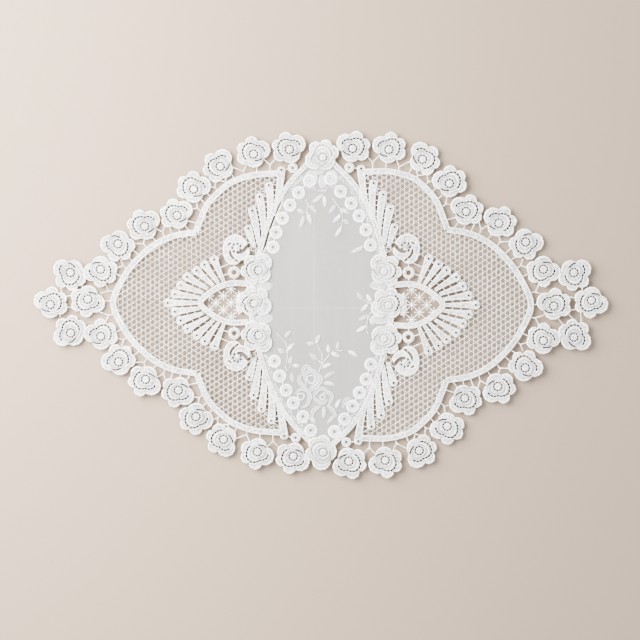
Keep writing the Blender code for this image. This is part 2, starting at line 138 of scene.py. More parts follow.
def curve_through(knots: Array, step: float) -> Array:
    """A smooth curve through the knots (Catmull-Rom), sampled at an even step.

    Args:
        knots: points in order.
        step: distance between samples.

    Returns:
        The samples, with both ends.
    """
    samples = 24
    ends = np.vstack([2 * knots[0] - knots[1], knots, 2 * knots[-1] - knots[-2]])
    p0, p1, p2, p3 = (ends[i:len(ends) - 3 + i, None] for i in range(4))
    t = np.linspace(0, 1, samples, endpoint=False)[None, :, None]
    dense = 0.5 * (2 * p1 + (p2 - p0) * t + (2 * p0 - 5 * p1 + 4 * p2 - p3) * t ** 2
                   + (3 * p1 - p0 - 3 * p2 + p3) * t ** 3)
    dense = np.vstack([dense.reshape(-1, 2), knots[-1:]])
    along = np.concatenate([[0.0], np.cumsum(np.linalg.norm(np.diff(dense, axis=0), axis=1))])
    wanted = np.linspace(0.0, along[-1], max(3, round(along[-1] / step) + 1))
    return np.stack([np.interp(wanted, along, dense[:, i]) for i in (0, 1)], -1)


def inside(points: Array, outline: Array) -> Mask:
    """Find the points inside a closed outline: their ray to +x crosses it an odd number of times.

    Args:
        points: points, with x and y last.
        outline: its corners in order.

    Returns:
        True for each point inside.
    """
    x, y = points[..., 0, None], points[..., 1, None]
    a, b = outline, np.roll(outline, -1, axis=0)
    spans = (a[:, 1] > y) != (b[:, 1] > y)
    rise = np.where(b[:, 1] == a[:, 1], 1.0, b[:, 1] - a[:, 1])
    crossing = a[:, 0] + (y - a[:, 1]) * (b[:, 0] - a[:, 0]) / rise
    return (spans & (x < crossing)).sum(-1) % 2 == 1


def distance_to(points: Array, path: Array) -> Array:
    """Measure how far each point is from a path of straight spans: the least distance to any span.

    Args:
        points: points, with x and y last.
        path: its corners in order.

    Returns:
        The distance of each point.
    """
    a, b = path[:-1], path[1:]
    span = b - a
    offset = points[..., None, :] - a
    share = np.clip((offset * span).sum(-1) / (span ** 2).sum(-1), 0.0, 1.0)
    return np.linalg.norm(offset - share[..., None] * span, axis=-1).min(-1)


# ---------------------------------------------------------------------------------------------
# Meshes


def ease(points: Array) -> Array:
    """Work out how far the lace stands off the table: 2.5 mm plus three slow waves.

    The first wave is a cosine of x times a cosine of y, the others are cosines of x and y
    together. They come to 1.6 mm at most.

    Args:
        points: points, with x, y and z last.

    Returns:
        How far each point is lifted.
    """
    x, y = points[:, 0], points[:, 1]
    return (2.5 - 0.75 * np.cos(x / 23 + 0.3) * np.cos(y / 33 - 0.4)
            + 0.5 * np.cos(y / 21 + x / 90 - 0.2) + 0.35 * np.cos(x / 16 - y / 51 + 0.2))


@dataclass
class Weaving:
    """Closed shapes made of rings of points, gathered into one piece."""

    name: str
    points: list[Array] = field(default_factory=list)
    tones: list[Array] = field(default_factory=list)
    faces: list[NDArray[np.int64]] = field(default_factory=list)
    maps: list[Array] = field(default_factory=list)
    count: int = 0

    def add(self, rings: Array, stitch: Array, tone: Array | None = None, closed: bool = False,
            keep: Mask | None = None) -> None:
        """Add closed shapes, each a row of rings joined by four-sided faces and capped at its ends.

        A shape whose signed volume is negative has its faces turned round, so all point outwards.

        Args:
            rings: shapes x rings x corners x 3.
            stitch: thread map, with one corner more, and one ring more for a closed shape.
            tone: pit, rim and shade at each point, from 0 to 1: painted shadow, highlight, shade.
            closed: join the last ring to the first instead of capping both.
            keep: shapes x rings, False where a strand is left out.
        """
        shapes, count, corners = rings.shape[:3]
        index = np.arange(rings[..., 0].size).reshape(shapes, count, corners)
        after = np.roll(index, -1, axis=2)
        steps = count if closed else count - 1
        up, up_after = np.roll(index, -1, axis=1), np.roll(after, -1, axis=1)
        quads = np.stack([index, after, up_after, up], -1)[:, :steps]
        maps = np.stack([stitch[:, :steps, :-1], stitch[:, :steps, 1:],
                         stitch[:, 1:steps + 1, 1:], stitch[:, 1:steps + 1, :-1]], -2)
        flat = rings.reshape(-1, 3)
        centre = rings.mean(axis=(1, 2))[:, None, None, None]
        p = flat[quads] - centre
        volume = (np.cross(p[..., 0, :], p[..., 1, :]) * p[..., 2, :]).sum((-1, -2, -3))
        volume += (np.cross(p[..., 0, :], p[..., 2, :]) * p[..., 3, :]).sum((-1, -2, -3))
        flip = volume < 0
        quads[flip], maps[flip] = quads[flip][..., ::-1], maps[flip][..., ::-1, :]
        there = np.ones((shapes, steps), bool) if keep is None else keep[:, :-1] & keep[:, 1:]
        self.faces.append(quads[there].reshape(-1, 4) + self.count)
        self.maps.append(maps[there].reshape(-1, 4, 2))
        if not closed:
            gone = np.zeros((shapes, 1), bool)
            first = there & ~np.hstack([gone, there[:, :-1]])
            last = there & ~np.hstack([there[:, 1:], gone])
            for ends, shift, backwards in ((first, 0, True), (last, 1, False)):
                shape, ring = np.nonzero(ends)
                cap, cap_map = index[shape, ring + shift], stitch[shape, ring + shift, :-1]
                turn = flip[shape] != backwards
                cap[turn], cap_map[turn] = cap[turn][:, ::-1], cap_map[turn][:, ::-1]
                self.faces.append(cap + self.count)
                self.maps.append(cap_map)
        self.points.append(flat)
        self.tones.append((np.zeros_like(rings) if tone is None else tone).reshape(-1, 3))
        self.count += len(flat)

    def make(self, finish: "ThreadFinish | SheerFinish") -> bpy.types.Object:
        """Make the piece, dress it and let it ride on the doily.

        Args:
            finish: the finish that dresses it.

        Returns:
            The finished piece.
        """
        corners = np.concatenate([face.ravel() for face in self.faces])
        sizes = np.concatenate([np.full(len(face), face.shape[1]) for face in self.faces])
        used = np.zeros(self.count, bool)
        used[corners] = True
        points, tones = np.concatenate(self.points)[used], np.concatenate(self.tones)[used]
        points[:, 2] += ease(points)
        mesh = bpy.data.meshes.new(self.name)
        mesh.vertices.add(len(points))
        mesh.vertices.foreach_set("co", (points * MM).ravel())
        mesh.loops.add(len(corners))
        mesh.loops.foreach_set("vertex_index", (np.cumsum(used) - 1)[corners])
        mesh.polygons.add(len(sizes))
        mesh.polygons.foreach_set("loop_start", np.concatenate([[0], np.cumsum(sizes)[:-1]]))
        mesh.polygons.foreach_set("use_smooth", np.ones(len(sizes), bool))
        mesh.update(calc_edges=True)
        stitch = mesh.uv_layers.new(name="stitch")
        stitch.uv.foreach_set("vector", np.concatenate([m.ravel() for m in self.maps]))
        tone = mesh.color_attributes.new(name="tone", type="FLOAT_COLOR", domain="POINT")
        tone.data.foreach_set("color", np.hstack([tones, np.ones((len(tones), 1))]).ravel())
        piece = bpy.data.objects.new(self.name, mesh)
        bpy.context.scene.collection.objects.link(piece)
        mesh.materials.append(finish.material())
        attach(piece, "root")
        log.info("%s: %d points, %d faces", self.name, len(points), len(sizes))
        return piece


class Section(Enum):
    """Cross-sections of a band: across from -1 to 1, height from 0 to 1, share of the rim's painted
    highlight.
    """

    THREAD = tuple((float(np.cos(a)), 0.5 + 0.5 * float(np.sin(a)), 0.0)
                   for a in np.arange(6) * pi / 3 + pi / 6)
    SATIN = ((-1, 0, 0), (-1, 0.5, 0.5), (-0.88, 0.84, 0.8), (-0.62, 0.94, 0.1), (0, 1, 0),
             (0.62, 0.94, 0.1), (0.88, 0.84, 0.8), (1, 0.5, 0.5), (1, 0, 0))
    CORDED = ((-1, 0, 0), (-1, 0.62, 0.6), (-0.9, 1, 1), (-0.7, 0.82, 0.3), (-0.35, 0.9, 0),
              (0.35, 0.9, 0), (0.7, 0.82, 0.3), (0.9, 1, 1), (1, 0.62, 0.6), (1, 0, 0))
    EDGED = ((-1, 0, 0), (-1, 0.7, 0.5), (-0.85, 1, 0.75), (-0.62, 0.95, 0.5), (-0.45, 0.5, 0),
             (0.45, 0.5, 0), (0.62, 0.95, 0.5), (0.85, 1, 0.75), (1, 0.7, 0.5), (1, 0, 0))


def sweep(weaving: Weaving, paths: Array, half: ArrayLike, section: Section, foot: ArrayLike,
          top: ArrayLike, keep: Mask | None = None, shade: ArrayLike = 0.0) -> None:
    """Carry a section along paths: each point lies beside the path by across times the half width.

    Args:
        weaving: what the bands are added to.
        paths: bands x stations x 2.
        half: half width, one or bands x stations.
        section: the cross-section.
        foot: height of the underside, one or bands x stations.
        top: height of the crown, one or bands x stations.
        keep: bands x stations, False where a band is left out.
        shade: how dim the thread looks between its rims, one or bands x stations.
    """
    profile = np.array(section.value, float)
    half, foot, top, shade = (np.broadcast_to(np.asarray(value, float), paths.shape[:2])[..., None]
                              for value in (half, foot, top, shade))
    along = np.gradient(paths, axis=1)
    along /= np.linalg.norm(along, axis=-1, keepdims=True)
    beside = np.stack([-along[..., 1], along[..., 0]], -1)[:, :, None]
    flat = paths[:, :, None] + beside * (half * profile[:, 0])[..., None]
    height = foot + (top - foot) * profile[:, 1]
    rings = np.concatenate([flat, height[..., None]], -1)
    length = np.zeros(paths.shape[:2])
    length[:, 1:] = np.cumsum(np.linalg.norm(np.diff(paths, axis=1), axis=-1), axis=1)
    around = np.linspace(0.0, 1.0, len(profile) + 1)
    stitch = np.stack(np.broadcast_arrays(around, length[..., None]), -1)
    tone = np.zeros_like(rings)
    # Painted highlight on the rims; between them the shade, painted shade or a dimmer tone.
    tone[..., 1] = profile[:, 2]
    tone[..., 2] = shade * (1 - profile[:, 2])
    weaving.add(rings, stitch, tone, keep=keep)


def cords(weaving: Weaving, runs: list[Array], radius: float, height: float) -> None:
    """Round cords along smooth paths, lying with their middles at a height.

    Args:
        weaving: what they are added to.
        runs: the knots of each path.
        radius: radius of the cords.
        height: height of their middle lines.
    """
    for knots in runs:
        path = curve_through(np.asarray(knots, float), 0.8)[None]
        sweep(weaving, path, radius, Section.THREAD, height - radius, height + radius)


def bars(weaving: Weaving, starts: Array, ends: Array, radius: float, height: float,
         flare: float) -> None:
    """Thread bars between pairs of points: straight tubes, wider towards both ends.

    The radius grows by the flare times the square of the share of the way from the middle.

    Args:
        weaving: what they are added to.
        starts: bars x 2.
        ends: bars x 2.
        radius: radius at the middle.
        height: height of the middle line.
        flare: extra share of radius at the ends.
    """
    share = np.linspace(0.0, 1.0, 6)
    paths = starts[:, None] + (ends - starts)[:, None] * share[:, None]
    reach = radius * (1.0 + flare * (2 * share - 1) ** 2)
    sweep(weaving, paths, reach[None], Section.THREAD, height - reach, height + reach)


def petals(weaving: Weaving, heads: Array, bends: Array, roots: Array, widths: tuple[float, float],
           foot: float, top: float, taper: float = 1.0) -> None:
    """Petals with a round head that narrow to the root.

    The spine is a parabola through head, bend and root. The half width is a circle's round the
    head, then falls to the root's with the share of the length to the power of the taper.

    Args:
        weaving: what they are added to.
        heads: middles of the round heads, petals x 2.
        bends: points half way along.
        roots: ends at the root.
        widths: width at the head and at the root.
        foot: height of the underside.
        top: height of the crown.
        taper: 1 for an even taper, more for a fuller petal, less for a club.
    """
    big, small = widths[0] / 2, widths[1] / 2
    length = np.linalg.norm(bends - heads, axis=-1) + np.linalg.norm(roots - bends, axis=-1)
    cap = np.sin(np.linspace(-pi / 2 + 0.12, 0, 7, endpoint=False))
    body = np.linspace(0.0, 1.0, 12)
    back = (big / length)[:, None]
    t = np.hstack([back * cap, np.broadcast_to(body, (len(heads), len(body)))])[..., None]
    half = np.concatenate([big * np.sqrt(1 - cap ** 2), big + (small - big) * body ** taper])
    pull = 2 * bends - (heads + roots) / 2
    paths = ((1 - t) ** 2 * heads[:, None] + 2 * t * (1 - t) * pull[:, None]
             + t ** 2 * roots[:, None])
    crown = foot + (top - foot) * (0.45 + 0.55 * np.minimum(1.0, half / (0.8 * big)) ** 0.5)
    sweep(weaving, paths, half, Section.CORDED, foot, crown)


def leaves(weaving: Weaving, tips: Array, width: float, foot: float, top: float) -> None:
    """Pointed leaves, bowed a little.

    Half width and height follow the sine of the share of the length.

    Args:
        weaving: what they are added to.
        tips: leaves x 4, base and tip.
        width: width at the middle.
        foot: height of the underside.
        top: height of the crown.
    """
    share = np.linspace(0.02, 0.98, 13)
    start, end = tips[:, None, :2], tips[:, None, 2:]
    spine = end - start
    bow = np.stack([-spine[..., 1], spine[..., 0]], -1) * 0.06 * np.sin(pi * share)[:, None]
    swell = np.sin(pi * share ** 0.9)
    dim = 0.5 + 0.5 * np.sin(np.arange(len(tips)) * 2.2 + 0.5)
    sweep(weaving, start + spine * share[:, None] + bow, width / 2 * swell[None] ** 0.8,
          Section.SATIN, foot, foot + (top - foot) * (0.4 + 0.6 * swell[None]), shade=dim[:, None])


class Eyelet(Enum):
    """Sections of a worked ring: share from hole to rim, height, and pit, rim and shade: painted
    shadow in the hole, painted highlight, painted shade.
    """

    PLAIN = ((0, 0, 0, 0, 0.5), (0, 0.6, 0, 0.4, 0.3), (0.12, 0.92, 0, 0.8, 0),
             (0.35, 1, 0, 0.1, 0), (0.7, 0.95, 0, 0.1, 0), (0.88, 0.9, 0, 0.9, 0),
             (1, 0.5, 0, 0.7, 0), (1, 0, 0, 0, 0))
    DOUBLE = ((0, 0, 1, 0, 1), (0, 0.3, 1, 0, 1), (0.17, 0.45, 0.7, 0, 1), (0.26, 0.9, 0, 0.8, 0),
              (0.34, 0.85, 0, 0.3, 0), (0.46, 0.6, 0, 0, 0.8), (0.58, 0.75, 0, 0.1, 0.2),
              (0.8, 1, 0, 0.5, 0), (0.93, 0.9, 0, 0.9, 0), (1, 0.5, 0, 0.5, 0), (1, 0, 0, 0, 0.2))
    PIN = ((0, 0, 1, 0, 1), (0, 0.5, 1, 0, 1), (0.55, 0.6, 1, 0, 1), (0.7, 1, 0, 0.6, 0),
           (0.9, 0.8, 0, 0.6, 0), (1, 0.3, 0, 0.2, 0), (1, 0, 0, 0, 0))


def eyelets(weaving: Weaving, centres: Array, outer: float, hole: float, kind: Eyelet,
            foot: float, top: float, corners: int = 36, lumps: int = 3) -> None:
    """Worked rings: a section turned about each centre, whose reach swells a little in a sine.

    Args:
        weaving: what they are added to.
        centres: rings x 2.
        outer: outer radius.
        hole: radius of the hole.
        kind: the section.
        foot: height of the underside.
        top: height of the crest.
        corners: points round each ring.
        lumps: how many swells there are round a ring.
    """
    profile = np.array(kind.value, float)
    angle = np.linspace(0.0, 2 * pi, corners, endpoint=False)
    reach = (hole + (outer - hole) * profile[:, 0])[:, None] * (1 + 0.03 * np.sin(lumps * angle))
    flat = centres[:, None, None] + np.stack([reach * np.cos(angle), reach * np.sin(angle)], -1)
    height = (foot + (top - foot) * profile[:, 1])[:, None, None]
    rings = np.concatenate([flat, np.broadcast_to(height, (*flat.shape[:3], 1))], -1)
    arc = np.linspace(0.0, 2 * pi * outer * 0.7, corners + 1)
    around = np.full(len(profile) + 1, MID_DASH)
    stitch = np.broadcast_to(np.stack(np.broadcast_arrays(around[:, None], arc), -1),
                             (len(centres), len(profile) + 1, corners + 1, 2))
    tone = np.zeros_like(rings)
    tone[:] = profile[:, None, 2:]
    weaving.add(rings, stitch, tone, closed=True)


# ---------------------------------------------------------------------------------------------
# Roses


@dataclass(frozen=True)
class Strength:
    """How dark the painted shadow in a rose's openings shows, from 0 to 1.

    Each pair is for the side over the cloth and the outer side; out is that side's direction in
    degrees.
    """

    heart: tuple[float, float] = (1.0, 1.0)
    slit: tuple[float, float] = (1.0, 1.0)
    out: float = 0.0


@dataclass
class Rose:
    """A worked rose: five lobes round a spiral slit, an inner petal ring and a heart.

    Angles are from the notch between the first two lobes, in degrees, and turn with the hand.
    """

    # Lobes: direction, distance of the middle, and radius.
    lobes: Array = field(default_factory=lambda: np.array(
        [(48, 6.8, 7.2), (-22, 9.1, 5.1), (-74, 9.4, 4.7), (-121, 7.9, 5.5), (160, 3.1, 7.5)],
        float))
    body: float = 8.6
    # The slit's line: angle and distance.
    slit: Array = field(default_factory=lambda: np.array(
        [(-143, 7.0), (-122, 7.9), (-102, 8.4), (-83, 9.2), (-63, 9.6), (-44, 9.6), (-25, 8.65),
         (-11, 7.9), (5, 7.0), (16, 7.8), (32, 8.6), (50, 9.1), (63, 9.0), (85, 8.3), (108, 7.5),
         (138, 5.9), (157, 5.5), (180, 5.7), (200, 6.3)], float))
    slit_turn: float = 0.0
    # Where the stitched slit starts and how far it runs; where the groove starts and ends.
    slit_span: tuple[float, float] = (-143.0, 206.0)
    groove_span: tuple[float, float] = (98.0, 160.0)
    dashes: float = 21.0
    heart_dashes: float = 9.0
    corners: int = 96
    # Radius at which the thread's length is measured.
    thread_radius: float = 10.0
    size_spread: float = 0.012
    rim_wander: float = 0.01
    wave_height: float = 0.06
    # How many rings belong to the heart, and how many to the rim and the underside.
    heart_rings: int = 8
    rim_rings: int = 5

    def reach(self, angle: Array) -> tuple[Array, Array]:
        """Find the rim: the furthest edge of any lobe, with a crease where two are equally far.

        Args:
            angle: angles round the rose, in degrees.

        Returns:
            The distance of the rim and the depth of the crease, from 0 to 1.
        """
        off = np.radians(angle[:, None] - self.lobes[:, 0])
        distance, radius = self.lobes[:, 1], self.lobes[:, 2]
        across = radius ** 2 - (distance * np.sin(off)) ** 2
        edge = np.where(across > 0, distance * np.cos(off) + np.sqrt(np.maximum(across, 0)), 0)
        edge = np.sort(np.maximum(edge, self.body), axis=1)
        return edge[:, -1], np.exp(-((edge[:, -1] - edge[:, -2]) / 0.9) ** 2)

    def stations(self, angle: Array) -> tuple[Array, Array, Array, Array]:
        """Work out the rings of one rose from the heart to the rim and back underneath.

        Args:
            angle: angles round the rose, in degrees.

        Returns:
            The distance, height and tone of each ring at each angle, and the share by which the
            slit is open there.
        """
        rim, crease = self.reach(angle)
        spun = (angle - self.slit_turn) % 360
        slit = np.interp(spun, *self._sorted_slit(), period=360)
        if self.slit_turn:
            slit = np.minimum(0.95 * slit, rim - 2.4)
        start, length = self.slit_span
        turn = (spun - start) % 360
        dashed = np.clip(np.minimum(turn, length - turn) / 6 + 0.5, 0, 1)
        start, end = self.groove_span
        groove = np.clip(np.minimum(spun - start, end - spun) / 8 + 0.5, 0, 1)
        open_slit = np.maximum(dashed, groove)
        dark = np.maximum(dashed, 0.55 * groove)
        lobe = rim - slit - 2.3
        one = np.ones_like(angle)
        # Each row: distance, height, pit, rim, shade: painted shadow, painted highlight, painted
        # shade.
        rows = [
            (0.15 * one, 2.55, 0, 0.3, 0), (1.5 * one, 2.6, 0, 0.2, 0), (1.9 * one, 2.6, 0, 0.6, 0),
            (2.4 * one, 2.4, 0, 0.8, 0.1), (2.68 * one, 1.7, 1, 0, 0.5),
            (3.72 * one, 1.6, 1, 0, 0.5), (4.0 * one, 2.25, 0, 1, 0)]
        # Folds of the petal ring: painted shade in each fold, wider in a pocket on one side, and a
        # painted highlight on the lip beside it.
        line = 0.04 + 0.92 * ((angle - 128) % 360) / 360
        pocket = np.exp(-(((angle + 135) % 360 - 180) / 45) ** 2)
        for share in np.linspace(0.0, 1.0, 10):
            off = (share - line) * (slit - 5.9)
            fold = np.exp(-(off / (0.4 + 0.55 * pocket)) ** 2)
            lip = np.exp(-((off - 0.8 - 0.5 * pocket) / 0.42) ** 2)
            rows.append((4.5 + share * (slit - 5.9), 2.3 + 0.25 * lip - 0.5 * fold, 0, lip, fold))
        # The slit, painted shadow where it is open and painted highlights on both edges, then the
        # lobes, with painted shade in their creases and a painted highlight on the rim.
        rows += [
            (slit - 1.03, 2.35, 0, 1, 0),
            (slit - 0.76, 2.0 - 0.9 * open_slit, dark, 0, 0.2 + 0.4 * open_slit),
            (slit + 0.5, 2.0 - 0.9 * open_slit, dark, 0, 0.2 + 0.4 * open_slit),
            (slit + 0.77, 2.2, 0, 1, 0),
            (slit + 1.2, 2.15 - 0.3 * crease, 0, 0.2, 0.1 + 0.5 * crease),
            (slit + 1.15 + 0.3 * lobe, 1.85 - 0.5 * crease, 0, 0, 0.3 + 0.6 * crease),
            (slit + 1.15 + 0.6 * lobe, 1.8 - 0.6 * crease, 0, 0, 0.2 + 0.7 * crease),
            (rim - 1.25, 1.85 - 0.55 * crease, 0, 0.2, 0.1 + 0.8 * crease),
            (rim - 0.75, 2.05 - 0.5 * crease, 0, 0.8 - 0.8 * crease, 0.7 * crease),
            (rim - 0.25, 1.9 - 0.4 * crease, 0, 1 - crease, 0.5 * crease),
            (rim, 1.3, 0, 0.8, 0.3 * crease),
            (rim - 0.05, 0.5, 0, 0.3, 0), (rim - 0.6, 0.0, 0, 0, 0), (0.15 * one, 0.0, 0, 0, 0)]
        distance = np.stack([row[0] for row in rows])
        distance[:-self.rim_rings] = np.minimum(distance[:-self.rim_rings], rim - 0.3)
        height, *tone = (np.stack([row[i] * one for row in rows]) for i in (1, 2, 3, 4))
        return distance, height, np.stack(tone, -1), dashed

    def _sorted_slit(self) -> tuple[Array, Array]:
        """The slit's knots in order of angle, for periodic interpolation."""
        order = np.argsort(self.slit[:, 0] % 360)
        return self.slit[order, 0] % 360, self.slit[order, 1]

    def add(self, weaving: Weaving, centres: Array, turns: Array, hands: Array, lift: float = 0.0,
            foot: float = 0.0, strength: Strength = Strength()) -> None:
        """Add roses: each ring is turned about its centre, and mirrored where the hand is -1.

        Sizes differ by a sine of the rose's number, and the rim is ragged by two quick sines.

        Args:
            weaving: what they are added to.
            centres: roses x 2.
            turns: direction of each notch, in degrees.
            hands: 1 or -1.
            lift: how much higher the tops lie.
            foot: height of the underside.
            strength: how dark the painted shadow in the openings shows.
        """
        angle = np.linspace(0.0, 360.0, self.corners, endpoint=False)
        distance, height, tone, dashed = self.stations(angle)
        number = np.arange(len(centres))
        size = 1.0 + self.size_spread * np.sin(number * 2.4 + 1.0)
        turned = np.asarray(turns, float)[:, None] + np.asarray(hands)[:, None] * angle
        direction = np.radians(turned)
        outer = np.clip(2 * np.cos(direction - radians(strength.out)), 0, 1)
        tone = np.repeat(tone[None], len(centres), axis=0)
        tone[:, :self.heart_rings, :, 0] *= np.interp(outer, (0, 1), strength.heart)[:, None]
        tone[:, self.heart_rings:, :, 0] *= np.interp(outer, (0, 1), strength.slit)[:, None]
        reach = distance[None] * size[:, None, None]
        ragged = (np.sin(np.radians(angle * 17) + number[:, None])
                  + np.sin(np.radians(angle * 29) - 2.1 * number[:, None]))
        reach = reach * (1 + self.rim_wander * ragged[:, None] * (distance > 8))
        flat = centres[:, None, None] + np.stack([reach * np.cos(direction)[:, None],
                                                  reach * np.sin(direction)[:, None]], -1)
        wave = self.wave_height * np.sin(np.radians(angle * 5) + number[:, None] * 1.7)
        high = np.where(height > 0.6, height + lift + wave[:, None], np.maximum(height, 0) + foot)
        rings = np.concatenate([flat, high[..., None]], -1)
        share = np.linspace(0.0, 1.0, self.corners + 1)
        in_heart = np.arange(len(distance))[:, None] < self.heart_rings
        dash = np.where(in_heart, share * self.heart_dashes, share * self.dashes)
        unslit = np.append(dashed, dashed[0]) < 0.02
        dash = np.where(unslit & ~in_heart, MID_DASH, dash)
        thread = np.broadcast_to(share * 2 * pi * self.thread_radius, dash.shape)
        stitch = np.broadcast_to(np.stack([dash, thread], -1), (len(centres), *dash.shape, 2))
        weaving.add(rings, stitch, tone)


# ---------------------------------------------------------------------------------------------
# A wing


@dataclass
class LaceWing:
    """A wing of guipure lace, drafted for the back half and laid out for both."""

    wing: Wing
    rose: Rose = field(default_factory=Rose)
    # Roses: middle, and the direction of the notch.
    border_roses: Table = ((24.9, 122.7, 93), (53.4, 121.9, 102), (79.8, 114.3, 58),
                           (100.9, 95.3, 110), (114.0, 73.2, 91), (139.7, 64.1, 84),
                           (160.8, 49.4, -50), (174.7, 28.0, -66), (198.5, 25.3, -23))
    axis_roses: Table = ((182.7, -0.9, 104), (212.2, 3.6, -75))
    side_rose: tuple[float, float, float] = (49.4, 26.5, 70)
    middle_rose: tuple[float, float, float] = (53.0, -0.4, 150)
    shoulder: Table = ((33.8, 104.6), (54.3, 104.7), (70.0, 100.7), (79.5, 94.4), (90.0, 82.6),
                       (96.0, 68.5), (99.2, 59.2))
    flank: Table = ((99.2, 59.2), (117.3, 55.9), (133.0, 48.0), (147.2, 34.6), (157.4, 19.7),
                    (164.9, 0.0))
    panel_edge: Table = ((8.3, 112.6), (12.6, 108.4), (22.8, 98.4), (30.7, 88.1), (37.0, 77.1),
                         (41.7, 65.3), (45.6, 53.5), (50.8, 33.0), (55.0, 12.0), (56.0, 0.0))
    net_start: Table = ((33.2, 104.7), (33.0, 95.0), (35.0, 84.0))
    arch: Table = ((57.5, 15.7), (69.0, 16.4), (77.5, 14.7), (86.6, 9.6), (95.6, 0.0))
    tape_width: float = 4.6
    panel_tape_width: float = 4.0
    arch_width: float = 4.4
    flank_height: float = 1.9
    shoulder_height: float = 1.86
    panel_tape_height: float = 1.7
    arch_height: float = 2.1
    bar_radius: float = 0.34
    bar_height: float = 0.8
    bar_flare: float = 0.5
    # How far bars run on past foot and head, and a fork's arms as a share of their length.
    run_on: tuple[float, float] = (1.2, 1.6)
    fork_run_on: float = 0.35
    petal_height: float = 1.9
    feather_height: float = 1.75
    # Widths at the head and at the root.
    petal_widths: tuple[float, float] = (6.9, 2.5)
    feather_widths: tuple[float, float] = (6.3, 2.3)
    # Pinholes: radius, radius of the hole, foot and crest.
    pin: tuple[float, float, float, float] = (1.6, 0.04, 1.5, 2.05)
    # Radius and height of the ladder bars between petals and of those between feathers.
    petal_ladder: tuple[float, float] = (0.19, 1.2)
    feather_ladder: tuple[float, float] = (0.24, 1.1)
    # Where they cross, as shares of a petal's length, and the share left off at both their ends.
    petal_ladder_shares: tuple[float, ...] = (0.07, 0.4, 0.71)
    petal_ladder_inset: float = 0.25
    # How far they reach to each side of the slit between two feathers.
    feather_ladder_reach: float = 1.9
    # Head x, head y, root x, root y.
    fan: Table = ((84.6, 36.2, 76.9, 17.3), (92.3, 32.0, 80.9, 15.9), (98.6, 27.1, 84.9, 14.1),
                  (106.0, 21.8, 89.4, 11.6), (111.3, 14.7, 93.1, 8.4), (115.8, 7.4, 96.0, 4.4),
                  (121.5, 0.0, 97.6, 0.0))
    # Head, bend, root.
    feathers: Table = ((31.5, 107.0, 33.4, 90.0, 37.6, 72.0), (41.3, 95.6, 40.3, 80.0, 42.2, 62.0),
                       (48.8, 86.6, 46.2, 69.3, 45.8, 52.0), (54.5, 75.6, 51.2, 60.6, 49.4, 47.0),
                       (57.7, 61.2, 55.4, 53.4, 52.6, 45.0))
    # Share of each feather's upper half that the net still fills.
    feather_starts: tuple[float, ...] = (0.1, 0.35, 0.3, 0.3, 0.3)
    # Slits between the feathers: start, bend, end, and how many bars cross them.
    feather_slits: Table = ((35.8, 99.5, 36.5, 92.0, 37.6, 83.0, 5),
                            (45.0, 91.0, 43.4, 80.0, 43.6, 69.3, 6),
                            (51.8, 79.5, 48.9, 69.3, 47.6, 60.6, 6),
                            (55.4, 63.5, 52.8, 55.1, 50.8, 49.6, 5))
    # Bars from tape to rose: foot and head, then feet with a fork and two heads.
    brides: Table = ((50.8, 107.0, 51.2, 111.8), (68.9, 103.1, 71.2, 107.8),
                     (88.1, 89.7, 90.5, 92.1), (91.7, 83.0, 93.7, 85.0), (99.2, 66.9, 104.7, 68.5),
                     (105.1, 61.4, 107.0, 63.7), (112.1, 59.8, 113.3, 63.7),
                     (118.1, 58.2, 120.4, 63.7), (130.6, 51.2, 133.0, 54.3),
                     (145.2, 40.9, 148.3, 43.7), (149.5, 35.4, 151.9, 37.0),
                     (159.4, 22.8, 162.9, 24.4))
    forks: Table = ((40.5, 106.0, 40.5, 112.0, 36.6, 116.1, 44.5, 116.1),
                    (60.6, 104.8, 61.5, 108.6, 59.0, 114.4, 68.8, 112.2),
                    (74.4, 98.6, 75.9, 101.5, 74.8, 106.5, 81.4, 102.4),
                    (81.8, 94.0, 84.2, 96.8, 83.4, 101.8, 88.4, 97.5),
                    (94.9, 76.6, 98.0, 79.5, 98.8, 84.5, 102.6, 78.7),
                    (124.3, 55.0, 125.6, 59.4, 124.3, 64.0, 130.8, 62.2),
                    (138.2, 46.2, 140.9, 49.6, 139.7, 54.6, 147.4, 49.8),
                    (154.4, 29.0, 156.8, 31.0, 158.2, 34.9, 163.1, 29.1),
                    (163.9, 9.6, 168.4, 10.2, 170.9, 15.6, 173.4, 8.5))
    tip_bars: Table = ((165.3, 0.4, 170.0, 0.4), (195.2, 6.3, 199.9, 5.5),
                       (196.0, -3.9, 199.9, -3.5), (194.4, -7.1, 197.5, -10.6),
                       (203.8, -6.3, 204.2, -12.6), (185.7, -10.2, 189.7, -15.0),
                       (205.0, 12.6, 205.0, 9.4))
    ground_bars: Table = ((57.5, 31.0, 61.5, 36.5), (58.0, 25.2, 65.0, 25.3),
                          (72.0, 24.8, 78.5, 22.6), (68.8, 29.0, 68.6, 35.0),
                          (68.8, 21.6, 69.0, 16.5), (71.0, 33.5, 80.5, 29.2),
                          (22.3, 110.5, 24.2, 114.5), (25.5, 107.6, 29.0, 107.2))
    open_ground: Table = ((54.5, 42.0), (53.0, 30.0), (56.0, 16.5), (77.0, 16.5), (82.5, 36.0),
                          (76.0, 38.0), (67.0, 44.0))
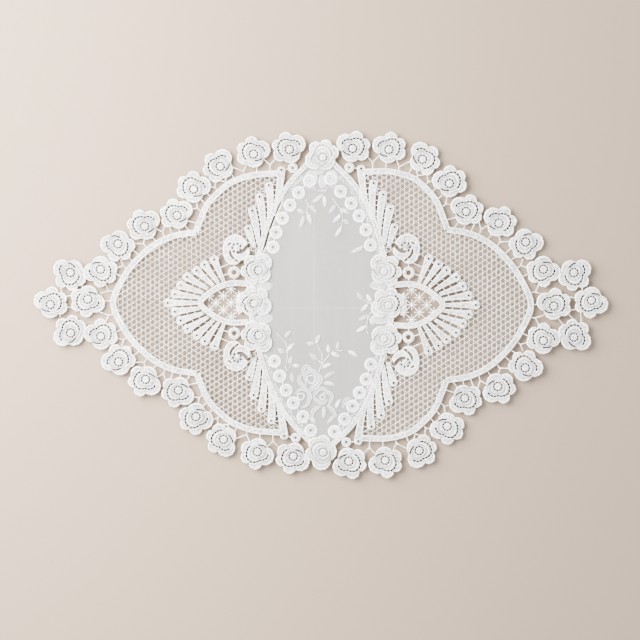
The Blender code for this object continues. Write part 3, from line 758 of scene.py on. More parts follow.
    # Start, step along and step across; stars and bars are in steps.
    lattice: tuple[float, float, float] = (71.2, 5.95, 5.8)
    stars: Table = ((0, 0), (2, 0), (1, 1), (1, -1), (0, 2), (0, -2), (-1, 1), (-1, -1), (2.9, 1),
                    (2.9, -1))
    lattice_bars: Table = ((-1, 1, 0, 2), (-1, -1, 0, -2), (-1, -1, 2, 2), (-1, 1, 2, -2),
                           (0, -2, 3, 1), (0, 2, 3, -1), (1, -3, 3, -1), (1, 3, 3, 1))
    lattice_spine: Table = ((63.2, 8.6), (65.0, 4.5), (65.6, 0.3), (65.0, -4.0), (63.2, -8.0))
    # Half width and height of the band along that spine.
    lattice_edge: tuple[float, float] = (1.9, 1.3)
    # Radius and height of the lattice's bars and of the stars' rays.
    lattice_bar: tuple[float, float] = (0.28, 0.85)
    ray: tuple[float, float] = (0.27, 1.0)
    ray_count: int = 8
    # Length of the straight rays and of the slanting ones between them.
    ray_lengths: tuple[float, float] = (3.8, 3.2)
    # A star's knot: radius, radius of the hole, foot and crest.
    knot: tuple[float, float, float, float] = (0.9, 0.1, 0.5, 1.5)
    # Middle and radius.
    scroll: tuple[float, float, float] = (67.3, 44.1, 10.6)
    # Edge of the scroll: angle and reach.
    scroll_edge: Table = ((-165, 11.2), (-145, 10.6), (-130, 10.1), (-112, 9.5), (-95, 11.4),
                          (-70, 12.5), (-50, 12.0), (-30, 11.0), (-12, 10.4), (20, 10.8),
                          (50, 11.9), (90, 12.0), (120, 11.1), (150, 10.3), (163, 8.6), (180, 10.6))
    # The scroll's slits and their half widths, and its boss, from its middle.
    scroll_slits: tuple[Table, ...] = (
        ((-8.9, 3.3), (-7.9, 1.4), (-6.2, -0.6), (-4.3, -1.9), (-1.6, -2.5)),
        ((4.7, -0.6), (4.5, -3.0), (3.4, -5.2), (1.2, -7.6), (-1.6, -9.4)),
        ((4.2, 5.1), (6.2, 3.7)))
    scroll_slit_widths: tuple[float, ...] = (1.15, 0.8, 0.8)
    scroll_boss: tuple[float, float] = (-0.5, 1.3)
    scroll_height: float = 1.75
    scroll_crown: float = 0.2
    scroll_cord: float = 0.3
    scroll_depth: float = 1.35
    # Heights of the last three rings, where the scroll rounds over to its edge.
    scroll_rim: tuple[float, ...] = (1.75, 1.5, 1.1)
    boss_radius: float = 2.7
    boss_height: float = 0.75
    # The ring of dots round the boss.
    dot_reach: float = 3.3
    dot_count: int = 7
    # Radius at which the thread's length is measured.
    scroll_thread_radius: float = 8.0
    # Rings: middle, outer radius and radius of the hole.
    small_ring: tuple[float, float, float, float] = (68.8, 25.3, 4.7, 1.95)
    top_ring: tuple[float, float, float, float] = (22.3, 107.8, 3.8, 1.0)
    ring_height: float = 1.7
    net_pitch: tuple[float, float] = (3.6, 4.62)
    net_origin: tuple[float, float] = (103.5, 44.5)
    net_radius: float = 0.118
    net_rise: float = 3.4
    net_level: float = 0.95
    net_swing: float = 0.13
    net_stray: float = 0.1
    # Share of the radius for upright strands and for those that slant up and down.
    upright_weight: float = 0.97
    slant_weights: tuple[float, float] = (1.2, 0.86)
    pieces: list[bpy.types.Object] = field(default_factory=list)

    def weaving(self, part: str) -> Weaving:
        """An empty weaving named for a part of this wing."""
        return Weaving(f"{part}_{self.wing.side}")

    def keep(self, weaving: Weaving, finish: "ThreadFinish") -> bpy.types.Object:
        """Make a lace piece and remember it."""
        self.pieces.append(weaving.make(finish))
        return self.pieces[-1]

    def rows(self, table: Table) -> Array:
        """A draft table of points, both halves, in place: rows x points x 2."""
        spots = np.asarray(table, float).reshape(len(table), -1, 2)
        return self.wing.lay(both_halves(spots))

    def net_outline(self) -> Array:
        """Draw the net's outline: out along the border tape and back along the panel tape.

        Returns:
            Its corners in place.
        """
        shoulder = curve_through(np.array(self.shoulder), 2.0)
        flank = curve_through(over_axis(self.flank), 2.0)
        outer = np.concatenate([shoulder, flank[1:-1], (shoulder * FRONT)[::-1]])
        inner = over_axis(self.net_start + self.panel_edge[4:])
        return self.wing.lay(np.concatenate([outer, inner[::-1]]))

    def openings(self) -> list[Array]:
        """Draw what the net leaves open: arch, fan, the ground round the rings, and feathers.

        Returns:
            The corners of each opening in place.
        """
        fan = np.array(self.fan)
        heads, roots = fan[:, :2], fan[:, 2:]
        gaps = heads + (roots - heads) * 0.08
        gaps = np.concatenate([(gaps[:-1] + gaps[1:]) / 2, gaps[-1:]])
        fan_edge = over_axis(np.concatenate([[heads[0] + (-1.0, -3.0)], gaps]))
        arch = curve_through(over_axis(self.arch), 2.0)
        middle = np.concatenate([fan_edge, [(60.0, -15.0), (60.0, 15.0)]])
        feathers = np.array(self.feathers)
        down = np.array(self.feather_starts)[:, None]
        tops = feathers[:, :2] + (feathers[:, 2:4] - feathers[:, :2]) * down
        plume = np.concatenate([tops, feathers[::-1, 4:]])
        outlines = [middle, arch]
        for sign in (1, -1):
            outlines += [np.array(self.open_ground) * (1, sign), plume * (1, sign)]
        return [self.wing.lay(outline) for outline in outlines]

    def is_net(self, spots: Array) -> Mask:
        """Find the points on the net: inside its outline, clear of its openings and the scrolls.

        Args:
            spots: points in place, with x and y last.

        Returns:
            True for each point on the net.
        """
        kept = inside(spots, self.net_outline())
        for opening in self.openings():
            kept &= ~inside(spots, opening)
        for sign in (1, -1):
            hub = self.wing.lay((self.scroll[0], sign * self.scroll[1]))
            kept &= np.linalg.norm(spots - hub, axis=-1) > self.scroll[2] - 1.2
        return kept

    def net_area(self) -> float:
        """Measure the net by how many points of a 1 mm grid lie on it.

        Returns:
            Its area in square millimetres.
        """
        outline = self.net_outline()
        low, high = outline.min(0), outline.max(0)
        grid = np.stack(np.meshgrid(np.arange(low[0], high[0]), np.arange(low[1], high[1])), -1)
        return float(self.is_net(grid).sum())

    def add_net(self) -> bpy.types.Object:
        """The net: upright strands and two slanting families that pass between six-sided holes.

        Strand k of a family lies half a pitch beside the holes' middles. Each strand swings over
        and under in a cosine, strays a little in sines of x and y, and thickens where it crosses
        another. It is built up of several stitched rows, so it is net_rise times as high as it is
        wide.

        Returns:
            The net.
        """
        pitch_x, pitch_y = self.net_pitch
        origin = np.array(self.net_origin) * (self.wing.hand, 1)
        outline = self.net_outline()
        rise = pitch_y / 2 / pitch_x
        low, high = outline.min(0) - 2, outline.max(0) + 2
        weaving = self.weaving("lace_net")
        # Each family runs well past the outline, and is_net() says what is kept of it.
        steps = np.arange(-60, 60)
        # Upright strands.
        x = origin[0] + (steps + 0.5) * pitch_x
        x = x[(x > low[0]) & (x < high[0])]
        rows = np.arange(-140, 80)
        y = origin[1] + rows * pitch_y / 4
        upright = np.stack(np.broadcast_arrays(x[:, None], y), -1)
        crossing = np.broadcast_to(rows % 2, upright.shape[:2])
        runs = [(upright, crossing, np.cos(pi * rows / 2 + pi / 2), self.upright_weight)]
        # Slanting strands.
        columns = np.arange(*(round((end[0] - origin[0]) / pitch_x * 4) for end in (low, high)))
        x = origin[0] + columns * pitch_x / 4
        for slope, weight in zip((1, -1), self.slant_weights):
            start = origin[1] + (steps + 0.5) * pitch_y
            y = start[:, None] + slope * rise * (x - origin[0])
            slant = np.stack(np.broadcast_arrays(x, y), -1)
            runs.append((slant, np.broadcast_to((columns + 1) % 2, slant.shape[:2]),
                         slope * np.cos(pi * columns / 2), weight))
        for paths, crossing, swing, weight in runs:
            kept = self.is_net(paths)
            used = kept.any(1)
            px, py = paths[used][..., 0], paths[used][..., 1]
            stray = np.stack([
                np.sin(0.9 * px + 0.5 * py + 1.0) + 0.6 * np.sin(0.23 * py - 0.31 * px),
                np.cos(0.7 * px - 0.8 * py) + 0.6 * np.sin(0.27 * px + 0.19 * py)], -1)
            radius = self.net_radius * weight * (0.9 + 0.6 * crossing[used])
            middle = self.net_level + self.net_swing * np.broadcast_to(swing, paths.shape[:2])[used]
            half_height = self.net_rise * radius
            sweep(weaving, paths[used] + self.net_stray * stray, radius, Section.THREAD,
                  middle - half_height, middle + half_height, keep=kept[used])
        return self.keep(weaving, TWIST)

    def add_tapes(self) -> None:
        """The border tape in three bows, and the tape along the panel."""
        weaving = self.weaving("border_tape")
        flank = curve_through(self.wing.lay(over_axis(self.flank)), 0.9)
        sweep(weaving, flank[None], self.tape_width / 2, Section.CORDED, 0.0, self.flank_height)
        for sign in (1, -1):
            shoulder = curve_through(self.wing.lay(np.array(self.shoulder) * (1, sign)), 0.9)
            sweep(weaving, shoulder[None], self.tape_width / 2, Section.CORDED, 0.0,
                  self.shoulder_height)
        self.keep(weaving, SATIN)
        weaving = self.weaving("panel_tape")
        edge = curve_through(self.wing.lay(over_axis(self.panel_edge)), 0.9)
        sweep(weaving, edge[None], self.panel_tape_width / 2, Section.CORDED, 0.0,
              self.panel_tape_height)
        self.keep(weaving, SATIN)

    def add_roses(self) -> None:
        """The border roses, the roses at the point and the three over the seam."""
        weaving = self.weaving("border_roses")
        table = np.array(self.border_roses, float)
        for sign in (1, -1):
            places = self.wing.lay(table[:, :2] * (1, sign))
            self.rose.add(weaving, places, self.wing.turned(sign * table[:, 2]),
                          np.full(len(table), self.wing.hand * sign))
        axis = np.array(self.axis_roses, float)
        turns = axis[:, 2] + (0.0 if self.wing.is_right else 180.0)
        self.rose.add(weaving, self.wing.lay(self.wing.at_point(axis[:, :2])), turns, np.ones(2))
        self.keep(weaving, SATIN)
        weaving = self.weaving("seam_roses")
        is_right = self.wing.is_right
        middle = Rose(slit_turn=-50.0 if is_right else -100.0)
        seam = ((self.rose, self.side_rose, 1, 0.5), (self.rose, self.side_rose, -1, 0.5),
                (middle, self.middle_rose, 1, 1.0 if is_right else 0.7))
        for rose, (x, y, turn), sign, far in seam:
            strength = Strength(heart=(0.25, 0.3 if is_right else 1.0), slit=(0.25, far),
                                out=0.0 if is_right else 180.0)
            rose.add(weaving, self.wing.lay([(x, sign * y)]), self.wing.turned([sign * turn]),
                     np.array([self.wing.hand * sign]), lift=0.2, foot=0.95, strength=strength)
        self.keep(weaving, SATIN)

    def add_bars(self) -> None:
        """The bars between tape and roses, at the point and round the small rings."""
        weaving = self.weaving("thread_bars")
        tip = self.wing.at_point(np.reshape(self.tip_bars, (-1, 2, 2)))
        singles = np.concatenate([self.rows(self.brides), self.rows(self.ground_bars),
                                  self.wing.lay(tip)])
        along = singles[:, 1] - singles[:, 0]
        along /= np.linalg.norm(along, axis=-1, keepdims=True)
        past_foot, past_head = self.run_on
        bars(weaving, singles[:, 0] - along * past_foot, singles[:, 1] + along * past_head,
             self.bar_radius, self.bar_height, self.bar_flare)
        forks = self.rows(self.forks)
        for start, end in ((0, 1), (1, 2), (1, 3)):
            over = self.fork_run_on * (forks[:, end] - forks[:, start]) * (start == 1)
            bars(weaving, forks[:, start], forks[:, end] + over, self.bar_radius, self.bar_height,
                 self.bar_flare)
        self.keep(weaving, TWIST)

    def add_fan(self) -> None:
        """The fan of petals with the arch at its root, and the feathers along the panel.

        Pinholes pierce their heads, and short bars cross the slits between them like ladders.
        """
        weaving = self.weaving("fan")
        fan = np.array(self.fan)
        spread = np.concatenate([fan, (fan * (1, -1, 1, -1))[:-1]]).reshape(-1, 2, 2)
        laid = self.wing.lay(spread)
        petals(weaving, laid[:, 0], laid.mean(1), laid[:, 1], self.petal_widths, 0.0,
               self.petal_height, taper=0.6)
        arch = curve_through(self.wing.lay(over_axis(self.arch)), 0.8)
        sweep(weaving, arch[None], self.arch_width / 2, Section.CORDED, 0.0, self.arch_height)
        plume = self.rows(self.feathers)
        petals(weaving, plume[:, 0], plume[:, 1], plume[:, 2], self.feather_widths, 0.0,
               self.feather_height, taper=1.2)
        self.keep(weaving, SATIN)
        pins = self.weaving("pin_holes")
        spots = np.concatenate([laid[:, 0], plume[:, 0]])
        radius, hole, foot, crest = self.pin
        eyelets(pins, spots, radius, hole, Eyelet.PIN, foot, crest, corners=12)
        self.keep(pins, SATIN)
        ladders = self.weaving("ladder_bars")
        for sign in (1, -1):
            side = fan * (1, sign, 1, sign)
            pairs = np.stack([side[:-1], side[1:]], 1).reshape(-1, 2, 2, 2)
            for share in self.petal_ladder_shares:
                ends = self.wing.lay(pairs[:, :, 0] + (pairs[:, :, 1] - pairs[:, :, 0]) * share)
                inwards = (ends[:, 1] - ends[:, 0]) * self.petal_ladder_inset
                bars(ladders, ends[:, 0] + inwards, ends[:, 1] - inwards, *self.petal_ladder,
                     flare=0.2)
        for slit in self.feather_slits:
            for sign in (1, -1):
                path = curve_through(self.wing.lay(np.reshape(slit[:6], (3, 2)) * (1, sign)), 0.5)
                along = np.gradient(path, axis=0)
                along /= np.linalg.norm(along, axis=-1, keepdims=True)
                beside = np.stack([-along[:, 1], along[:, 0]], -1) * self.feather_ladder_reach
                pick = np.linspace(0, len(path) - 1, slit[6]).round().astype(int)
                bars(ladders, (path - beside)[pick], (path + beside)[pick], *self.feather_ladder,
                     flare=0.3)
        self.keep(ladders, TWIST)

    def add_stars(self) -> None:
        """The star lattice inside the arch: slanting bars, and eight rays and a knot a star."""
        weaving = self.weaving("star_lattice")
        start, step_x, step_y = self.lattice
        cells = np.reshape(self.lattice_bars, (-1, 2, 2)) * (step_x, step_y) + (start, 0.0)
        ends = self.wing.lay(cells)
        bars(weaving, ends[:, 0], ends[:, 1], *self.lattice_bar, flare=0.0)
        stars = self.wing.lay(np.array(self.stars) * (step_x, step_y) + (start, 0.0))
        number = np.arange(self.ray_count)
        angle = number * 2 * pi / self.ray_count
        straight, slanting = self.ray_lengths
        length = np.where(number % 2, slanting, straight)[:, None]
        rays = np.stack([np.cos(angle), np.sin(angle)], -1) * length
        tips = (stars[:, None] + rays).reshape(-1, 2)
        bars(weaving, np.repeat(stars, self.ray_count, axis=0), tips, *self.ray, flare=0.6)
        radius, hole, foot, crest = self.knot
        eyelets(weaving, stars, radius, hole, Eyelet.PLAIN, foot, crest, corners=10)
        self.keep(weaving, TWIST)
        patch = self.weaving("lattice_edge")
        spine = curve_through(self.wing.lay(self.lattice_spine), 0.8)
        half, crown = self.lattice_edge
        sweep(patch, spine[None], half, Section.SATIN, 0.0, crown)
        self.keep(patch, SATIN)

    def add_rings(self) -> None:
        """The small eyelet rings."""
        weaving = self.weaving("small_rings")
        for x, y, outer, hole in (self.small_ring, self.top_ring):
            spots = self.wing.lay(both_halves([(x, y)]))
            eyelets(weaving, spots, outer, hole, Eyelet.PLAIN, 0.0, self.ring_height)
        self.keep(weaving, SATIN)

    def add_scrolls(self) -> None:
        """The scrolls: round mounds cut by three slits, with a boss in a ring of dots.

        Height is a gently crowned disc with a raised rim, less a trench that falls off with the
        distance to each slit, plus a cord close beside it and a dome over the boss.
        """
        weaving = self.weaving("scrolls")
        x, y = self.scroll[:2]
        boss = np.array(self.scroll_boss)
        angle = np.linspace(0.0, 2 * pi, 144, endpoint=False)
        edge = np.interp(np.degrees(angle), *np.transpose(self.scroll_edge), period=360)
        share = np.concatenate([np.linspace(0.012, 0.9, 44), [0.93, 0.96, 0.985, 1.0]])
        reach = share[:, None] * edge
        spots = np.stack([reach * np.cos(angle), reach * np.sin(angle)], -1)
        # pit: painted shadow in the slits and dots; shade: painted shade round them; cord: a
        # painted highlight on the raised cords.
        pit_shadow, shade = np.zeros((2, *spots.shape[:2]))
        cord = np.exp(-((reach - edge + 0.7) / 0.5) ** 2)
        for slit, breadth in zip(self.scroll_slits, self.scroll_slit_widths):
            path = np.array(slit)
            gap = distance_to(spots, path)
            ends = np.linalg.norm(spots[..., None, :] - path[[0, -1]], axis=-1).min(-1)
            wide = breadth * np.clip(0.35 + ends / 3.0, 0.35, 1.0)
            pit_shadow = np.maximum(pit_shadow, np.clip(3 * (1.2 - gap / wide), 0, 1))
            shade = np.maximum(shade, 0.7 * np.clip(1.7 - gap / wide, 0, 1))
            cord = np.maximum(cord, np.exp(-((gap - wide - 0.75) / 0.4) ** 2))
        far = np.linalg.norm(spots - boss, axis=-1)
        around = np.arctan2(*np.moveaxis(spots - boss, -1, 0)[::-1])
        dots = (np.exp(-((far - self.dot_reach) / 0.7) ** 2)
                * np.clip(2.4 * np.cos(around * self.dot_count) + 0.8, 0, 1))
        pit_shadow = np.maximum(pit_shadow, dots)
        shade = np.maximum(shade, 0.5 * np.exp(-((far - self.dot_reach) / 0.6) ** 2))
        dome = np.clip(1 - (far / self.boss_radius) ** 2, 0, 1)
        height = (self.scroll_height + self.scroll_crown * (1 - share[:, None] ** 2)
                  + self.scroll_cord * cord + self.boss_height * np.sqrt(dome))
        height = height - self.scroll_depth * np.clip(1.6 * pit_shadow, 0, 1)
        height[-3:] = np.array(self.scroll_rim)[:, None]
        base = np.stack([(edge - 0.1) * np.cos(angle), (edge - 0.1) * np.sin(angle)], -1)
        spots = np.concatenate([spots, base[None], 0.01 * base[None]])
        height = np.concatenate([height, np.zeros((2, len(angle)))])
        tone = np.zeros((*height.shape, 3))
        tone[:-2, :, 0], tone[:-2, :, 1], tone[:-2, :, 2] = pit_shadow, 0.9 * cord * (1 - shade), shade
        turn = np.linspace(0.0, 2 * pi * self.scroll_thread_radius, len(angle) + 1)
        stitch = np.stack(np.broadcast_arrays(np.full((1, len(height), 1), MID_DASH), turn), -1)
        for sign in (1, -1):
            laid = self.wing.lay((x, sign * y)) + spots * (self.wing.hand, sign)
            weaving.add(np.concatenate([laid, height[..., None]], -1)[None], stitch, tone[None])
        self.keep(weaving, SCROLLED)

    def build(self) -> None:
        net = self.add_net()
        self.add_tapes()
        self.add_roses()
        self.add_bars()
        self.add_fan()
        self.add_stars()
        self.add_rings()
        self.add_scrolls()
        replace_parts(net, f"lace_wing_{self.wing.side}")
        outline = self.net_outline()
        self.net_area() * MM ** 2


# ---------------------------------------------------------------------------------------------
# The panel


@dataclass
class OrganzaPanel:
    """The pointed panel of sheer organza with the embroidery worked into it."""

    right: LaceWing
    left: LaceWing
    top_point: float = 113.5
    bottom_point: float = -114.5
    cloth_height: float = 0.8
    cloth_thickness: float = 0.2
    tuck: float = 0.6
    seam_gap: float = 3.5
    ring_outer: float = 5.1
    ring_hole: float = 0.45
    ring_crest: float = 1.4
    ring_lumps: int = 13
    # Where the embroidery starts: the underside of the cloth.
    work_foot: float = 0.6
    link_radius: float = 0.6
    link_height: float = 0.7
    tie_height: float = 1.0
    # Share of the way between two rings by which a link is shorter at each end.
    link_inset: float = 0.38
    leaf_width: float = 3.0
    leaf_crest: float = 1.45
    stem_radius: float = 0.38
    stem_height: float = 0.9
    pad_crest: float = 1.0
    crescent_half: float = 1.5
    outline_ring_crest: float = 1.25
    # The filling's cords: half width, how far in they lie, how far they swing and stray, and the
    # length of a wave.
    filling_half: float = 0.5
    filling_inset: float = 3.9
    filling_swing: float = 1.1
    filling_stray: float = 0.6
    filling_wave: float = 5.5
    # How far from the axis the filling starts and ends, and where the open seam on the left ends.
    filling_start: float = 40.0
    filling_end: float = 104.0
    seam_end: float = 92.0
    # Middles of the rings: six behind and six in front on each side.
    chain_right: Table = ((7.6, 99.0), (15.6, 89.0), (23.8, 79.7), (30.1, 69.9), (35.5, 58.9),
                          (39.0, 46.9), (10.6, -99.5), (18.6, -89.7), (24.9, -79.5), (30.3, -69.0),
                          (35.6, -58.4), (39.3, -46.7))
    chain_left: Table = ((-9.0, 97.4), (-17.4, 88.1), (-24.2, 78.3), (-30.0, 68.1), (-35.1, 57.0),
                         (-37.5, 45.4), (-7.9, -98.5), (-14.0, -87.7), (-21.6, -77.0),
                         (-27.3, -67.0), (-32.3, -55.8), (-36.4, -44.2))
    # Bars across the open seam: start and end.
    seam_ties: Table = ((-38.9, 72.0, -33.5, 69.3), (-43.6, 59.8, -38.5, 57.7))
    # Leaves: base and tip.
    sprays: Table = ((-19.0, 75.0, -13.0, 71.4), (-13.6, 70.5, -16.9, 60.0),
                     (-11.2, 72.6, -7.9, 63.0), (-9.4, 78.0, -2.8, 72.0), (1.4, 87.0, -7.3, 80.4),
                     (2.0, 85.9, 2.9, 76.8), (11.7, 79.3, 6.0, 72.0), (14.4, 75.3, 22.8, 71.4),
                     (15.9, 72.0, 9.0, 64.8), (17.1, 66.6, 22.8, 63.3), (15.9, 61.8, 10.8, 53.4),
                     (33.9, 46.3, 23.4, 41.4), (33.6, 3.8, 28.3, 10.2), (39.9, 2.8, 36.0, 8.7),
                     (36.8, 1.3, 31.1, -5.0), (37.5, -7.5, 29.0, -12.0), (35.3, -16.2, 27.5, -20.8),
                     (38.2, -12.0, 42.0, -16.2), (-28.2, -25.7, -23.4, -20.7),
                     (-26.4, -36.2, -20.4, -30.2), (-28.4, -37.5, -33.9, -34.0),
                     (-24.2, -47.1, -22.9, -40.2), (-22.9, -47.8, -16.4, -48.6),
                     (-21.2, -61.3, -22.9, -52.6), (-4.8, -30.2, -11.6, -30.0),
                     (-3.5, -30.7, -0.6, -23.2), (-2.0, -43.3, -8.8, -37.5),
                     (6.7, -38.0, 5.7, -30.7), (7.5, -38.0, 15.0, -41.0),
                     (13.5, -35.3, 14.0, -28.7), (21.0, -36.2, 29.0, -41.0),
                     (0.9, -49.8, 8.5, -46.3), (2.4, -58.1, 11.5, -52.6), (1.7, -61.3, 10.9, -63.1),
                     (2.0, -79.4, 1.7, -89.4), (10.5, -86.4, 4.5, -93.2),
                     (11.7, -81.4, 15.7, -73.9), (-8.6, -88.5, -4.1, -93.5))
    # Stems and crescents: the knots of each.
    stems: tuple[Table, ...] = (
        ((-11.8, 82.9), (-10.0, 77.4), (-11.8, 72.0)), ((4.5, 92.5), (4.5, 90.1), (1.4, 86.5)),
        ((-5.8, 91.9), (-1.6, 89.5), (4.5, 90.1)),
        ((9.3, 83.4), (12.3, 79.3), (16.5, 72.0), (17.1, 64.8), (15.9, 61.1)),
        ((33.6, 3.8), (38.2, 1.7), (41.3, 0.9), (41.3, -3.2), (37.8, -8.2), (36.4, -12.4),
         (36.0, -20.1), (37.5, -22.9)),
        ((-34.7, -22.2), (-30.7, -26.2), (-27.4, -30.7), (-26.7, -36.8), (-26.4, -41.2),
         (-28.2, -50.8)),
        ((-27.7, -52.0), (-22.7, -47.1)),
        ((-3.3, -30.7), (-0.6, -36.2), (0.9, -39.7), (0.7, -47.8)),
        ((17.0, -35.7), (11.5, -36.2), (7.5, -38.2), (0.9, -46.7), (-2.0, -53.8)),
        ((-2.0, -43.3), (0.9, -46.7)))
    outlines: tuple[Table, ...] = (
        ((-14.6, -55.8), (-13.8, -50.8), (-11.1, -48.3), (-6.1, -51.8)),
        ((-16.6, -54.8), (-16.6, -60.8), (-11.1, -64.8)),
        ((-11.4, -63.7), (-12.2, -55.1), (-8.1, -51.8), (-4.1, -53.8), (-3.5, -59.8),
         (-9.1, -66.3)),
        ((-2.0, -53.5), (0.0, -59.8), (-8.1, -67.7)),
        ((-20.1, -69.9), (-16.1, -66.3), (-10.6, -67.4), (-8.7, -72.4), (-11.1, -78.4),
         (-15.7, -80.9)),
        ((-6.1, -71.9), (-1.1, -65.9), (5.4, -66.9)),
        ((1.4, -69.3), (6.5, -68.9), (8.5, -72.4), (6.0, -78.9)),
        ((-6.1, -72.4), (-2.0, -75.9), (2.0, -76.9), (5.0, -73.9)),
        ((-7.1, -88.9), (-6.1, -83.4), (-0.1, -78.9)), ((5.0, -78.9), (9.0, -82.4), (12.0, -87.9)),
        ((17.0, -80.9), (19.5, -74.9), (23.5, -72.9)))
    # Satin pads under the tip roses and the seam roses: base, tip and width.
    pads: Table = ((6.3, 107.4, 9.4, 90.5, 9.5), (-5.7, 104.3, 3.1, 104.7, 5.0),
                   (0.4, 102.7, 0.5, 90.1, 6.0), (-8.0, 106.0, -9.5, 91.0, 10.5),
                   (0.4, -107.0, 4.7, -101.9, 3.4), (-6.3, -103.9, -2.0, -107.4, 3.4),
                   (37.5, 14.8, 54.5, 13.6, 7.4), (37.5, -11.6, 54.5, -12.9, 7.4),
                   (-37.0, 15.9, -54.0, 14.7, 7.4), (-37.0, -9.2, -54.0, -10.8, 7.4))
    # Rings: middle, outer radius and radius of the hole.
    outline_rings: Table = ((-7.6, -58.3, 3.6, 2.6), (-15.7, -71.9, 3.0, 2.0),
                            (1.2, -72.4, 2.4, 1.4))

    def side(self, lace: LaceWing, y: Array) -> Array:
        """Find how far the panel reaches to one side, in under the panel tape.

        Args:
            lace: the wing on that side.
            y: where along the panel.

        Returns:
            The x of the edge at each y.
        """
        edge = curve_through(lace.wing.lay(over_axis(lace.panel_edge)), 1.0)[::-1]
        edge = np.concatenate([[(1.9, self.bottom_point)], edge, [(1.5, self.top_point)]])
        return np.interp(y, edge[:, 1], edge[:, 0])

    def left_edge(self, y: Array) -> Array:
        """The cloth's left edge at each y, pulled back from the tape along the open seam."""
        seam = np.clip(np.minimum((y - 34) / 12, (88 - y) / 9), 0, 1)
        return self.side(self.left, y) + self.tuck + self.seam_gap * seam

    def add_cloth(self) -> bpy.types.Object:
        """The cloth: a thin closed shell between the two panel tapes.

        Its height is a level plus two slow waves along x and y, so that it isn't dead flat.

        Returns:
            The cloth.
        """
        weaving = Weaving("organza_cloth")
        y = np.linspace(self.bottom_point + 0.4, self.top_point - 0.4, 150)
        right, left = self.side(self.right, y) - self.tuck, self.left_edge(y)
        share = np.linspace(0.0, 1.0, 50)
        x = left[:, None] + (right - left)[:, None] * share
        down = y[:, None]
        wave = 0.07 * np.sin(x / 7.0 + 0.4 * np.sin(down / 30)) + 0.05 * np.sin(down / 11.0)
        top = self.cloth_height + wave
        across = np.concatenate([x, x[:, ::-1]], 1)
        high = np.concatenate([top, top[:, ::-1] - self.cloth_thickness], 1)
        rings = np.stack([across, np.broadcast_to(down, across.shape), high], -1)[None]
        wide = np.concatenate([rings, rings[:, :, :1]], 2)[..., :2]
        weaving.add(rings, wide)
        return weaving.make(SHEER)

    def add_chains(self) -> bpy.types.Object:
        """The chains of eyelet rings down both sides, with a short link between each and the next.

        Returns:
            The chains.
        """
        weaving = Weaving("eyelet_chains")
        chains = np.array(self.chain_right + self.chain_left).reshape(4, 6, 2)
        eyelets(weaving, chains.reshape(-1, 2), self.ring_outer, self.ring_hole, Eyelet.DOUBLE,
                self.work_foot, self.ring_crest, corners=4 * self.ring_lumps,
                lumps=self.ring_lumps)
        starts, ends = chains[:, :-1].reshape(-1, 2), chains[:, 1:].reshape(-1, 2)
        inwards = (ends - starts) * self.link_inset
        bars(weaving, starts + inwards, ends - inwards, self.link_radius, self.link_height,
             flare=0.5)
        ties = np.reshape(self.seam_ties, (-1, 2, 2))
        bars(weaving, ties[:, 0], ties[:, 1], self.link_radius, self.tie_height, flare=0.5)
        return weaving.make(EMBROIDERY)

    def add_filling(self) -> bpy.types.Object:
        """The filling between chains and tapes: pairs of cords that wave about each other in sines.

        Along the open seam on the left it is only a narrow hem on the edge of the cloth.

        Returns:
            The filling.
        """
        weaving = Weaving("seam_filling")
        step = 0.3
        for lace, back in ((self.right, self.filling_start), (self.left, self.seam_end)):
            edge = curve_through(lace.wing.lay(over_axis(lace.panel_edge)), step)
            along = np.gradient(edge, axis=0)
            along /= np.linalg.norm(along, axis=-1, keepdims=True)
            inward = np.stack([-along[:, 1], along[:, 0]], -1)
            inward *= -np.sign(inward[:, :1] * lace.wing.hand)
            for low, high in ((-self.filling_end, -self.filling_start), (back, self.filling_end)):
                run = (edge[:, 1] > low) & (edge[:, 1] < high)
                turns = np.arange(run.sum()) * step * 2 * pi / self.filling_wave
                for phase in (0.0, pi):
                    stray = self.filling_stray * np.sin(0.37 * turns + 2 * phase)
                    swing = self.filling_swing * np.sin(turns + phase + stray)
                    offset = self.filling_inset + stray + swing
                    path = edge[run] + inward[run] * offset[:, None]
                    crown = 1.1 + 0.15 * np.cos(turns + phase)
                    shade = 0.4 + 0.3 * np.sin(0.29 * turns + phase)
                    sweep(weaving, path[None], self.filling_half, Section.THREAD,
                          crown[None] - 0.7, crown[None], shade=shade[None])
        y = np.linspace(38.0, self.seam_end, 100)
        hem = np.stack([self.left_edge(y) + 0.5, y], -1)
        sweep(weaving, hem[None], 0.65, Section.SATIN, 0.4, 1.2)
        return weaving.make(EMBROIDERY)

    def add_sprays(self) -> bpy.types.Object:
        """Leaf sprays, stems and roses drawn in satin crescents.

        A crescent's half width is a power of the sine of the share of its length.

        Returns:
            The sprays.
        """
        weaving = Weaving("leaf_sprays")
        leaves(weaving, np.array(self.sprays), self.leaf_width, self.work_foot, self.leaf_crest)
        cords(weaving, [np.array(run) for run in self.stems], self.stem_radius, self.stem_height)
        for *tip, width in self.pads:
            leaves(weaving, np.array([tip]), width, self.work_foot, self.pad_crest)
        for run in self.outlines:
            path = curve_through(np.array(run), 0.7)
            swell = np.sin(pi * np.linspace(0.08, 0.92, len(path))) ** 0.7
            sweep(weaving, path[None], self.crescent_half * swell[None], Section.EDGED,
                  self.work_foot, 0.8 + 0.6 * swell[None], shade=0.9)
        for x, y, outer, hole in self.outline_rings:
            eyelets(weaving, np.array([(x, y)]), outer, hole, Eyelet.PLAIN, self.work_foot,
                    self.outline_ring_crest)
        return weaving.make(EMBROIDERY)

    def build(self) -> None:
        cloth = self.add_cloth()
        worked = [self.add_chains(), self.add_filling(), self.add_sprays()]
        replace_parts(cloth, "organza_panel")
        y = np.linspace(self.bottom_point, self.top_point, 200)
        width = self.side(self.right, y) - self.side(self.left, y)


